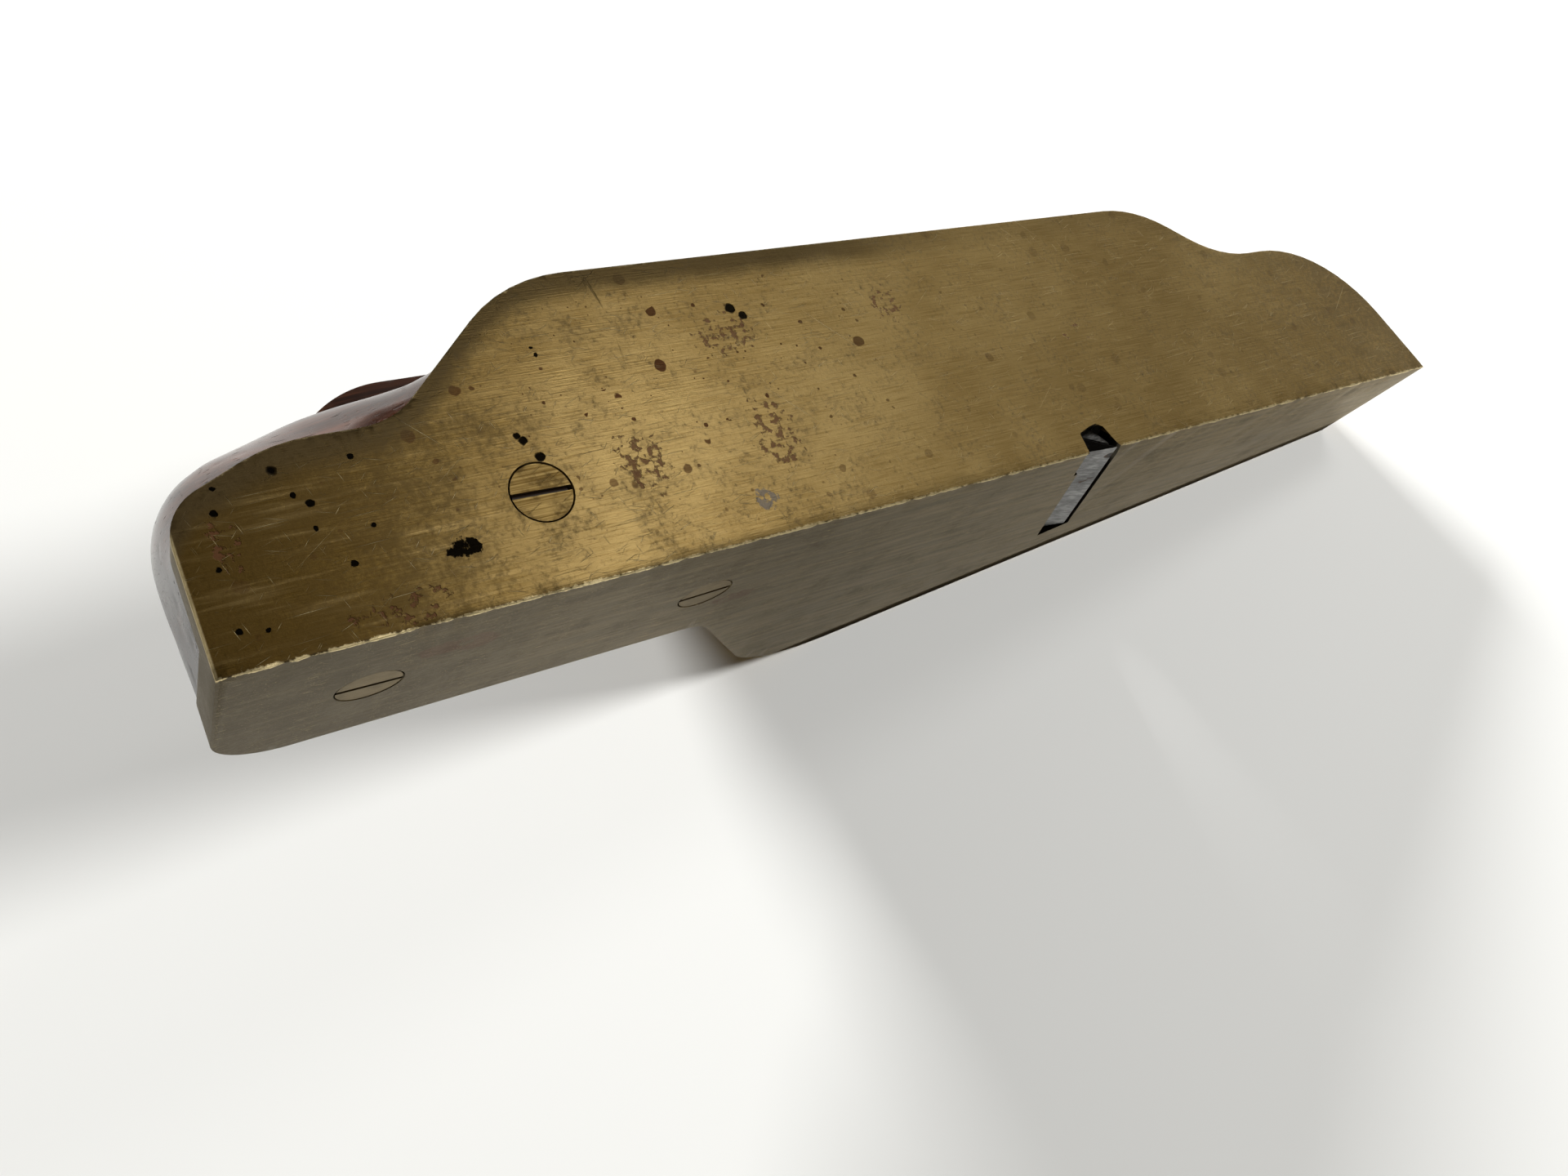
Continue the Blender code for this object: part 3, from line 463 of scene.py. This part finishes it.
def screwPaint(settings):
    # filed screw heads: like the casting but scratched another way, dark in the slot
    made, tree, shader, place = newMaterial("screwBrass")
    here, _, y, z = fromHeel(tree, place)
    filed = use(tree, scratches, {"Place": here, "Turn": (0.0, 0.5, 0.0), "Along": 200.0,
                "Across": 4200.0, "Amount": 0.4})["Mask"]
    brushed = use(tree, streaks, {"Place": here, "Along": 60.0, "Across": 4200.0})["Mask"]
    cloudy = noise(tree, here, 420.0, 5.0, 0.66)
    colour = blend(tree, remap(tree, brushed, 0.36, 0.66), settings["deep"], settings["light"])
    colour = blend(tree, product(tree, remap(tree, cloudy, 0.48, 0.66), 0.7), colour,
                   settings["tarnish"])
    colour = blend(tree, product(tree, filed, 0.4), colour, settings["light"])
    under = remap(tree, z, 0.0010, 0.0005)
    colour = blend(tree, product(tree, under, 0.8), colour, settings["sole"])
    # a slot's floor lies deeper than the filed face, from the cheek or from the sole
    deepSide = remap(tree, y, 0.00020, 0.00045)
    deepSole = remap(tree, z, 0.00020, 0.00045)
    slot = maths(tree, "MINIMUM", deepSide, deepSole)
    colour = blend(tree, slot, colour, settings["slot"])
    tree.links.new(colour, shader.inputs["Base Color"])
    tree.links.new(maths(tree, "SUBTRACT", 1.0, maths(tree, "MULTIPLY", slot, 0.9)),
                   shader.inputs["Metallic"])
    tree.links.new(maths(tree, "ADD", 0.32, maths(tree, "MULTIPLY", cloudy, 0.2)),
                   shader.inputs["Roughness"])
    height = maths(tree, "SUBTRACT", maths(tree, "MULTIPLY", brushed, 0.4), filed)
    tree.links.new(bump(tree, height, 0.4, 0.00008), shader.inputs["Normal"])
    shader.inputs["Specular Tint"].default_value = brass["glance"]
    return made


steel = {
    "light": (0.34, 0.335, 0.32),
    "dark": (0.11, 0.108, 0.104),
    "rust": (0.10, 0.040, 0.016),
    "black": (0.007, 0.006, 0.005),
}


def steelPaint(name, settings, rusty):
    # ground tool steel gone grey, with rust spots and a few scratches
    made, tree, shader, place = newMaterial(name)
    cloudy = noise(tree, place, 210.0, 5.0, 0.65)
    speck = noise(tree, place, 900.0, 3.0, 0.6)
    ground = use(tree, streaks, {"Place": place, "Along": 90.0, "Across": 2600.0})["Mask"]
    marks = anyOf(tree, [use(tree, scratches, {"Place": place, "Turn": (0.3, turn, 0.4),
                  "Along": 120.0, "Across": 1500.0, "Amount": 0.08})["Mask"]
                  for turn in (0.2, 1.1)])
    colour = blend(tree, remap(tree, ground, 0.34, 0.68), settings["dark"], settings["light"])
    colour = blend(tree, product(tree, remap(tree, cloudy, 0.40, 0.66), 0.65), colour,
                   settings["dark"])
    colour = blend(tree, product(tree, marks, 0.4), colour, settings["light"])
    blots = use(tree, pits, {"Place": place, "Scale": 420.0, "Amount": rusty, "Size": 0.55})["Mask"]
    patches = product(tree, remap(tree, cloudy, 0.58, 0.66), remap(tree, speck, 0.44, 0.58))
    rust = anyOf(tree, [blots, product(tree, patches, 0.8)])
    colour = blend(tree, product(tree, rust, 0.85), colour,
                   blend(tree, remap(tree, speck, 0.4, 0.6), settings["black"], settings["rust"]))
    # painted shade: the blade's narrow sides, marked in the side attribute, go black
    side = add(tree, "ShaderNodeAttribute", attribute_name="side").outputs["Fac"]
    colour = blend(tree, product(tree, side, 0.98), colour, settings["black"])
    tree.links.new(colour, shader.inputs["Base Color"])
    tree.links.new(maths(tree, "SUBTRACT", 1.0, maths(tree, "MULTIPLY", rust, 0.85)),
                   shader.inputs["Metallic"])
    tree.links.new(maths(tree, "ADD", maths(tree, "MULTIPLY", rust, 0.35),
                   remap(tree, cloudy, 0.3, 0.7, 0.30, 0.46)), shader.inputs["Roughness"])
    height = maths(tree, "SUBTRACT", maths(tree, "MULTIPLY", ground, 0.3),
                   maths(tree, "ADD", maths(tree, "MULTIPLY", rust, 0.8),
                         maths(tree, "MULTIPLY", marks, 0.4)))
    tree.links.new(bump(tree, height, 0.5, 0.0001), shader.inputs["Normal"])
    return made


wood = {
    "dark": (0.011, 0.0035, 0.0018),
    "mid": (0.036, 0.0115, 0.0052),
    "red": (0.085, 0.028, 0.012),
    "worn": (0.120, 0.052, 0.027),
}


def woodPaint(name, settings, turn=(0.0, 0.0, 0.0), rough=0.22, coat=0.38):
    # dense dark red wood: long grain, open pores, a rubbed polish with fine scratches
    made, tree, shader, place = newMaterial(name)
    along = add(tree, "ShaderNodeMapping", {"Vector": place, "Rotation": turn}).outputs[0]
    bent = add(tree, "ShaderNodeTexNoise", {"Vector": along, "Scale": 22.0, "Detail": 2.0})
    swayed = add(tree, "ShaderNodeVectorMath", {0: bent.outputs["Color"], 1: (0.0, 0.006, 0.006),
                 2: along}, operation="MULTIPLY_ADD").outputs[0]
    figure = use(tree, streaks, {"Place": swayed, "Along": 7.0, "Across": 260.0})["Mask"]
    fibre = use(tree, streaks, {"Place": swayed, "Along": 40.0, "Across": 2400.0})["Mask"]
    pore = use(tree, scratches, {"Place": swayed, "Turn": (0.0, 0.0, 0.0), "Along": 260.0,
               "Across": 2600.0, "Amount": 0.30})["Mask"]
    flecks = use(tree, scratches, {"Place": swayed, "Turn": (0.0, 0.03, 0.02), "Along": 110.0,
                 "Across": 1100.0, "Amount": 0.10})["Mask"]
    colour = blend(tree, remap(tree, figure, 0.34, 0.64), settings["dark"], settings["mid"])
    colour = blend(tree, remap(tree, figure, 0.55, 0.78), colour, settings["red"])
    colour = blend(tree, product(tree, remap(tree, fibre, 0.46, 0.70), 0.5), colour,
                   settings["red"])
    colour = blend(tree, product(tree, anyOf(tree, [pore, flecks]), 0.85), colour,
                   (0.004, 0.0025, 0.002))
    cloudy = noise(tree, place, 90.0, 4.0)
    colour = blend(tree, product(tree, remap(tree, cloudy, 0.58, 0.74), 0.45), colour,
                   settings["worn"])
    knocks = anyOf(tree, [use(tree, scratches, {"Place": place, "Turn": (0.2, turned, 0.5),
                   "Along": 120.0, "Across": 1300.0, "Amount": 0.05})["Mask"]
                   for turned in (0.4, 1.2)])
    dents = use(tree, pits, {"Place": place, "Scale": 160.0, "Amount": 0.25, "Size": 0.22})["Mask"]
    colour = blend(tree, product(tree, knocks, 0.25), colour, settings["worn"])
    tree.links.new(colour, shader.inputs["Base Color"])
    holes = anyOf(tree, [pore, flecks])
    tree.links.new(maths(tree, "ADD", maths(tree, "MULTIPLY", holes, 0.4),
                   remap(tree, cloudy, 0.3, 0.7, rough, rough + 0.12)), shader.inputs["Roughness"])
    tree.links.new(remap(tree, anyOf(tree, [holes, dents, knocks]), 0.0, 1.0, coat, 0.05),
                   shader.inputs["Coat Weight"])
    shader.inputs["Coat Roughness"].default_value = 0.12
    shader.inputs["Specular IOR Level"].default_value = 0.35
    height = maths(tree, "MULTIPLY", fibre, 0.18)
    for mask, depth in ((holes, 1.0), (knocks, 0.35), (dents, 0.7)):
        height = maths(tree, "SUBTRACT", height, maths(tree, "MULTIPLY", mask, depth))
    tree.links.new(bump(tree, height, 0.5, 0.00012), shader.inputs["Normal"])
    return made


paints = {
    "gunmetal": castingPaint(brass),
    "screw_brass": screwPaint(screwBrass),
    "tool_steel": steelPaint("toolSteel", steel, 0.16),
    "screw_steel": steelPaint("screwSteel", steel, 0.10),
    "infill_wood": woodPaint("infillWood", wood),
    "wedge_wood": woodPaint("wedgeWood", wood, turn=(0.0, 0.0, 0.47)),
}
print("materials made")


def finishMesh(mesh, name, slot, body, replaced, sharp):
    # the mesh as a piece at the origin: smooth but for its sharp edges, painted and riding
    mesh.shade_smooth()
    mesh.set_sharp_from_angle(angle=math.radians(sharp))
    mesh.materials.clear()
    mesh.materials.append(paints[slot])
    piece = bpy.data.objects.new(name, mesh)
    bpy.context.scene.collection.objects.link(piece)
    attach(piece, body)
    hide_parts(replaced)
    return piece


def mergedCopy(node, gaps=(None, None, None)):
    # a welded copy of a CAD node, sliced across each axis that has a gap
    shape = bmesh.new()
    shape.from_mesh(nodes[node].data)
    bmesh.ops.remove_doubles(shape, verts=shape.verts, dist=2e-6)
    low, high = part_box(node)
    for axis, gap in enumerate(gaps):
        if not gap:
            continue
        for place in np.arange(low[axis] + gap, high[axis] - gap / 2, gap):
            at, across = Vector((0, 0, 0)), Vector((0, 0, 0))
            at[axis], across[axis] = float(place), 1.0
            bmesh.ops.bisect_plane(shape, geom=shape.verts[:] + shape.edges[:] + shape.faces[:],
                                   dist=1e-6, plane_co=at, plane_no=across)
    mesh = bpy.data.meshes.new(node + "_worked")
    shape.to_mesh(mesh)
    shape.free()
    return mesh


def readPoints(mesh):
    co = np.empty(len(mesh.vertices) * 3, np.float32)
    mesh.vertices.foreach_get("co", co)
    return co.reshape(-1, 3).astype(float)


skew = math.radians(27.0)  # turn of the iron and the mouth in plan

castingSkin = {
    "slice": 0.00125,    # between cuts along the body
    "layer": 0.002,      # between cuts up the body
    "nick": 0.00022,     # deepest knock in the near lower edge
    "knocked": 0.0007,   # how far from the edge a knock fades out
    "seed": 7,
    "middle": (0.125, 0.030, 0.0),  # of the hollow, from the heel corner
    "stepFace": 0.066,   # the hollow starts ahead of this
    "edgeX": 0.1242,     # near corner of the cutting edge
    "mouth": (-0.003, 0.012),  # reach ahead of and behind the edge
    "mouthSides": (0.0004, 0.05),
    "mouthTop": 0.0052,
    "windowDepth": 0.006,      # the side window through the near cheek
    "floor": (0.0045, 0.0055),
    "sharp": 20.0,       # degrees
}


def makeCasting(settings):
    # the casting with knocked edges, and with its height below the top outline on each point
    step = settings["slice"]
    mesh = mergedCopy("body_casting", (step, None, settings["layer"]))
    co = readPoints(mesh)
    local = co - np.array(heel)
    column = np.clip(np.rint(local[:, 0] / step).astype(int), 0, int(length / step) + 1)
    near = local[:, 1] < 0.0008
    top = np.zeros(column.max() + 1)
    np.maximum.at(top, column[near], local[near, 2])
    below = np.maximum(top[column] - local[:, 2], 0.0)
    mesh.attributes.new("below_top", "FLOAT", "POINT").data.foreach_set(
        "value", below.astype(np.float32))

    # each slice of the near lower edge is pushed in by its own random depth
    rng = np.random.default_rng(settings["seed"])
    depth = settings["nick"] * rng.random(top.size) ** 3
    edge = np.exp(-((np.hypot(local[:, 1], local[:, 2]) / settings["knocked"]) ** 2)) * near
    heelEdge = np.exp(-((local[:, 0] / settings["knocked"]) ** 2)) * near * 0.4
    push = depth[column] * edge
    co[:, 1] += push
    co[:, 2] += push
    co[:, 1] += depth[(local[:, 2] / step).astype(int)] * heelEdge
    mesh.vertices.foreach_set("co", co.astype(np.float32).ravel())

    # faces that look inwards, and those of the mouth and its window, are marked for painted shade:
    # black inside
    count = len(mesh.polygons)
    centre, normal = np.empty(count * 3, np.float32), np.empty(count * 3, np.float32)
    mesh.polygons.foreach_get("center", centre)
    mesh.polygons.foreach_get("normal", normal)
    centre = centre.reshape(-1, 3) - np.array(heel)
    normal = normal.reshape(-1, 3)
    x, y, z = centre.T
    outwards = ((centre - np.array(settings["middle"]))[:, :2] * normal[:, :2]).sum(1)
    inwards = (outwards < -0.0005) & (x > settings["stepFace"]) & (y > 0.0008)
    inwards &= np.abs(normal[:, 2]) < 0.9
    behind = (settings["edgeX"] - x) * math.cos(skew) + y * math.sin(skew)
    (ahead, back), (nearEnd, farEnd) = settings["mouth"], settings["mouthSides"]
    mouth = (behind > ahead) & (behind < back) & (z > 0.0002)
    mouth &= (y > nearEnd) & (y < farEnd) & (normal[:, 1] < 0.5)
    mouth &= (z < settings["mouthTop"]) | (y < settings["windowDepth"])
    floorLow, floorHigh = settings["floor"]
    floor = (z > floorLow) & (z < floorHigh) & (normal[:, 2] > 0.9)
    inner = inwards | mouth | floor
    mesh.attributes.new("inner", "FLOAT", "FACE").data.foreach_set(
        "value", inner.astype(np.float32))
    mesh.update()
    return finishMesh(mesh, "castingSkin", "gunmetal", "body", "body_casting",
                      settings["sharp"])


makeCasting(castingSkin)
print("casting worked")

grip = {
    "rows": 150, "strips": 110,
    "front": 0.0633,
    "side": (0.0049, 0.0293),
    "width": 0.0294,          # the body's narrow end, near side to far
    "middle": (0.030, 0.012),  # where the dents sink towards
    "base": 0.0053,
    "edge": [(0.0006, 0.0053, 0.0), (0.0006, 0.0181, 0.0062), (0.0119, 0.0235, 0.0185),
             (0.0247, 0.0235, 0.0100), (0.0432, 0.0398, 0.0205), (0.0633, 0.0398, 0.0)],
    "crown": [(0.0002, 0.0053, 0.0), (-0.00084, 0.0274, 0.0120), (0.0200, 0.0346, 0.0300),
              (0.0440, 0.0346, 0.0120), (0.0530, 0.0402, 0.0120), (0.0633, 0.0402, 0.0)],
    "corner": 0.0092,
    "comb": {"top": 0.0409, "start": (0.0180, 0.0318), "side": (0.0201, 0.0214), "round": 0.0062},
    "dents": 46,
    "dentSize": (0.0004, 0.0012),     # least radius and what chance adds to it
    "dentDepth": (0.00004, 0.00012),
    "seed": 11,
    "sharp": 45.0,
}


def roundedLine(points, count):
    # corners (x, z, radius) joined by straights and arcs, then spaced evenly
    path = [np.array(points[0][:2])]
    for before, (x, z, radius), after in zip(points, points[1:-1], points[2:]):
        corner = np.array((x, z))
        into, out = corner - before[:2], np.array(after[:2]) - corner
        into, out = into / np.hypot(*into), out / np.hypot(*out)
        turn = math.atan2(into[0] * out[1] - into[1] * out[0], into @ out)
        start = corner - into * radius * math.tan(abs(turn) / 2)
        side = math.copysign(1.0, turn)
        hub = start + np.array((-into[1], into[0])) * radius * side
        angle = np.linspace(0.0, turn, 24)[:, None]
        spoke = start - hub
        swung = np.array((-spoke[1], spoke[0]))
        path.extend(hub + spoke * np.cos(angle) + swung * np.sin(angle))
    path.append(np.array(points[-1][:2]))
    path = np.array(path)
    run = np.concatenate(([0.0], np.cumsum(np.hypot(*np.diff(path, axis=0).T))))
    goal = np.linspace(0.0, run[-1], count)
    return np.stack([np.interp(goal, run, path[:, i]) for i in range(2)], axis=1)


def makeGrip(settings):
    # skin(u, v) = edge line + (crown line - edge line) * 4v(1 - v), u along, v across;
    # the comb lifts its far side, and the far rear corner is rounded in plan
    edge = roundedLine(settings["edge"], settings["rows"])
    crown = roundedLine(settings["crown"], settings["rows"])
    v = np.linspace(0.0, 1.0, settings["strips"] + 1)[:, None]
    near, far = settings["side"]
    bulge = 4 * v * (1 - v)
    x = edge[:, 0] + (crown[:, 0] - edge[:, 0]) * bulge
    z = edge[:, 1] + (crown[:, 1] - edge[:, 1]) * bulge
    y = near + (far - near) * v + 0 * x
    comb, corner = settings["comb"], settings["corner"]
    over = np.maximum(y - (far - corner), 0.0)
    shift = corner - np.sqrt(np.maximum(corner ** 2 - over ** 2, 0.0))
    behind = np.clip((comb["start"][1] - x) / (comb["start"][1] - comb["start"][0]), 0.0, 1.0)
    rise = np.clip((y - comb["side"][0]) / (comb["side"][1] - comb["side"][0]), 0.0, 1.0)
    edgeOver = np.maximum(y - (settings["width"] - comb["round"]), 0.0) / comb["round"]
    share = (1.0 - behind ** 2) * rise * rise * (3 - 2 * rise)
    share = share * np.sqrt(np.maximum(1.0 - edgeOver ** 2, 0.0))
    z = z + share * np.maximum(comb["top"] - z, 0.0)
    x = x + shift * np.clip(1.0 - np.maximum(x, 0.0) / (3 * corner), 0.0, 1.0)

    # small knocks: each sinks the skin towards the middle of the block
    rng = np.random.default_rng(settings["seed"])
    count = settings["dents"]
    (least, more), (shallow, deeper) = settings["dentSize"], settings["dentDepth"]
    sink = np.zeros_like(x)
    for across, along, size, deep in zip(rng.random(count), rng.random(count),
                                         least + more * rng.random(count) ** 2,
                                         shallow + deeper * rng.random(count) ** 2):
        i = int(across * (x.shape[0] - 1))
        j = int(along * (x.shape[1] - 1))
        gap = (x - x[i, j]) ** 2 + (y - y[i, j]) ** 2 + (z - z[i, j]) ** 2
        sink += deep * np.exp(-gap / size ** 2)
    middleX, middleZ = settings["middle"]
    reach = np.hypot(middleX - x, middleZ - z)
    x = x + sink * (middleX - x) / reach
    z = np.maximum(z + sink * (middleZ - z) / reach, settings["base"])
    x = np.minimum(x, settings["front"])

    # each strip's section is closed by the front face and the floor
    foot = np.full((x.shape[0], 1), settings["front"])
    x = np.hstack([x, foot])
    y = np.hstack([y, y[:, :1]])
    z = np.hstack([z, np.full_like(foot, settings["base"])])
    strips, around = x.shape
    points = np.stack([x, y, z], axis=2).reshape(-1, 3) + np.array(heel)
    index = np.arange(strips * around).reshape(strips, around)
    ahead = np.roll(index, -1, axis=1)
    quads = np.stack([index[:-1], index[1:], ahead[1:], ahead[:-1]], axis=2).reshape(-1, 4)
    mesh = bpy.data.meshes.new("gripSkin")
    mesh.from_pydata(points.tolist(), [], quads.tolist() + [index[0].tolist(),
                                                            index[-1][::-1].tolist()])
    shape = bmesh.new()
    shape.from_mesh(mesh)
    bmesh.ops.recalc_face_normals(shape, faces=shape.faces)
    shape.to_mesh(mesh)
    shape.free()
    return finishMesh(mesh, "gripSkin", "infill_wood", "body", "rear_infill", settings["sharp"])


makeGrip(grip)
print("grip made")

softening = {"flat": 0.6, "segments": 3, "corner": 38.0, "sharp": 30.0}  # angles in degrees

worked = [  # piece, CAD node, body, slot, softened edge in metres
    ("bedBlock", "bed_infill", "body", "infill_wood", 0.0004),
    ("frontBlock", "front_infill", "body", "infill_wood", 0.0005),
    ("wedgeBlock", "wedge", "wedge", "wedge_wood", 0.0005),
    ("ironBlade", "cutting_iron", "iron", "tool_steel", 0.00008),
    ("capIron", "cap_iron", "cap", "tool_steel", 0.00012),
    ("capScrew", "cap_screw", "screw", "screw_steel", 0.00012),
    ("sideScrew", "side_screw", "body", "screw_brass", 0.0),
    ("soleScrewRear", "sole_screw_rear", "body", "screw_brass", 0.0),
    ("soleScrewFront", "sole_screw_front", "body", "screw_brass", 0.0),
]


def shadeBladeSides(mesh):
    # painted shade: mark the faces that look across the blade, its narrow sides, to be painted black
    normal = np.empty(len(mesh.polygons) * 3, np.float32)
    mesh.polygons.foreach_get("normal", normal)
    across = np.array((math.sin(skew), math.cos(skew), 0.0))
    side = np.abs(normal.reshape(-1, 3) @ across) > 0.9
    mesh.attributes.new("side", "FLOAT", "FACE").data.foreach_set("value",
                                                                  side.astype(np.float32))


def makeWorked(settings):
    # merged copies of the other nodes with their edges broken
    for name, node, body, slot, ease in worked:
        mesh = mergedCopy(node)
        shape = bmesh.new()
        shape.from_mesh(mesh)
        bmesh.ops.dissolve_limit(shape, angle_limit=math.radians(settings["flat"]),
                                 verts=shape.verts, edges=shape.edges)
        shape.to_mesh(mesh)
        shape.free()
        if node == "cutting_iron":
            shadeBladeSides(mesh)
        piece = finishMesh(mesh, name, slot, body, node, settings["sharp"])
        if ease:
            soft = piece.modifiers.new("edges", "BEVEL")
            soft.width = ease
            soft.segments = settings["segments"]
            soft.limit_method = "ANGLE"
            soft.angle_limit = math.radians(settings["corner"])
            soft.harden_normals = False


makeWorked(softening)
print("blocks, iron, cap and screws worked")

stage = {
    "normal": (-0.3748, -0.9271, 0.0),  # the body lies on its oblique far cheek
    "behind": 0.0003,
    "size": 6.0,
    "touching": 0.004,   # rays shorter than this pass through the sheet
    "colour": (0.80, 0.80, 0.775),
    "rough": 0.45,
}


def makeStage(settings):
    # A vertical sheet against the oblique far cheek: clear from behind, to lamps behind it and
    # to rays that leave a surface touching it, so the far side of the body isn't in the dark.
    normal = Vector(settings["normal"]).normalized()
    co = readPoints(nodes["body_casting"].data)
    reach = float((co @ np.array(normal)).min()) - settings["behind"]
    side = Vector((0, 0, 1)).cross(normal)
    half = settings["size"] / 2
    corners = [normal * reach + side * a + Vector((0, 0, b))
               for a, b in ((-half, -half), (half, -half), (half, half), (-half, half))]
    mesh = bpy.data.meshes.new("backdrop")
    mesh.from_pydata(corners, [], [(0, 1, 2, 3)])
    sheet = bpy.data.objects.new("backdrop", mesh)
    bpy.context.scene.collection.objects.link(sheet)
    paint, tree, shader, _ = newMaterial("backdrop")
    shader.inputs["Base Color"].default_value = (*settings["colour"], 1.0)
    shader.inputs["Roughness"].default_value = settings["rough"]
    clear = add(tree, "ShaderNodeBsdfTransparent")
    rear = add(tree, "ShaderNodeNewGeometry").outputs["Backfacing"]
    ray = add(tree, "ShaderNodeLightPath").outputs
    close = maths(tree, "LESS_THAN", ray["Ray Length"], settings["touching"])
    through = anyOf(tree, [rear, ray["Is Shadow Ray"], close])
    mix = add(tree, "ShaderNodeMixShader", {0: through, 1: shader.outputs[0], 2: clear.outputs[0]})
    tree.links.new(mix.outputs[0], tree.nodes["Material Output"].inputs["Surface"])
    mesh.materials.append(paint)


def fromEye(right, up, forward):
    # A point in metres from the camera, along its own axes.
    return eye.matrix_world.translation + eyeTurn @ Vector((right, up, -forward))


lights = [  # name, place and aim from the camera, width, watts, seen in gloss
    ("window", (0.46, 0.60, -0.26), (0.0, 0.0, 0.16), 0.20, 0.85, True),
    ("tableKey", (1.70, 0.66, -0.60), (0.0, 0.0, 0.24), 0.44, 44.0, False),
    ("tableSky", (-0.80, 1.55, -0.10), (0.0, 0.08, 0.25), 0.42, 47.0, False),
    ("farFill", (0.35, 0.25, 1.10), (0.0, 0.0, 0.20), 0.50, 9.0, True),
]


def makeLights():
    for name, place, aim, wide, watts, glossy in lights:
        data = bpy.data.lights.new(name, "AREA")
        data.shape = "DISK"
        data.size = wide
        data.energy = watts
        lamp = bpy.data.objects.new(name, data)
        here = fromEye(*place)
        lamp.matrix_world = Matrix.Translation(here) @ (
            fromEye(*aim) - here).to_track_quat("-Z", "Y").to_matrix().to_4x4()
        lamp.visible_glossy = glossy
        bpy.context.scene.collection.objects.link(lamp)


room = {"high": (0.27, 0.265, 0.25), "dim": (0.034, 0.029, 0.022), "up": (0.85, -0.40, 0.35),
        "pale": (0.86, 0.86, 0.84)}


def makeRoom(settings):
    # a dim room, brighter towards one side, and pale where it is seen past the sheet
    world = bpy.data.worlds.new("room")
    bpy.context.scene.world = world
    world.use_nodes = True
    tree = world.node_tree
    sky = tree.nodes["Background"]
    place = add(tree, "ShaderNodeTexCoord").outputs["Generated"]
    towards = Vector(settings["up"]).normalized()
    facing = add(tree, "ShaderNodeVectorMath", {0: place, 1: towards}, operation="DOT_PRODUCT")
    level = remap(tree, facing.outputs["Value"], 0.30, 1.0)
    lit = blend(tree, level, settings["dim"], settings["high"])
    seen = add(tree, "ShaderNodeLightPath").outputs["Is Camera Ray"]
    tree.links.new(blend(tree, seen, lit, settings["pale"]), sky.inputs["Color"])


makeStage(stage)
makeLights()
makeRoom(room)
print("stage and lights set")
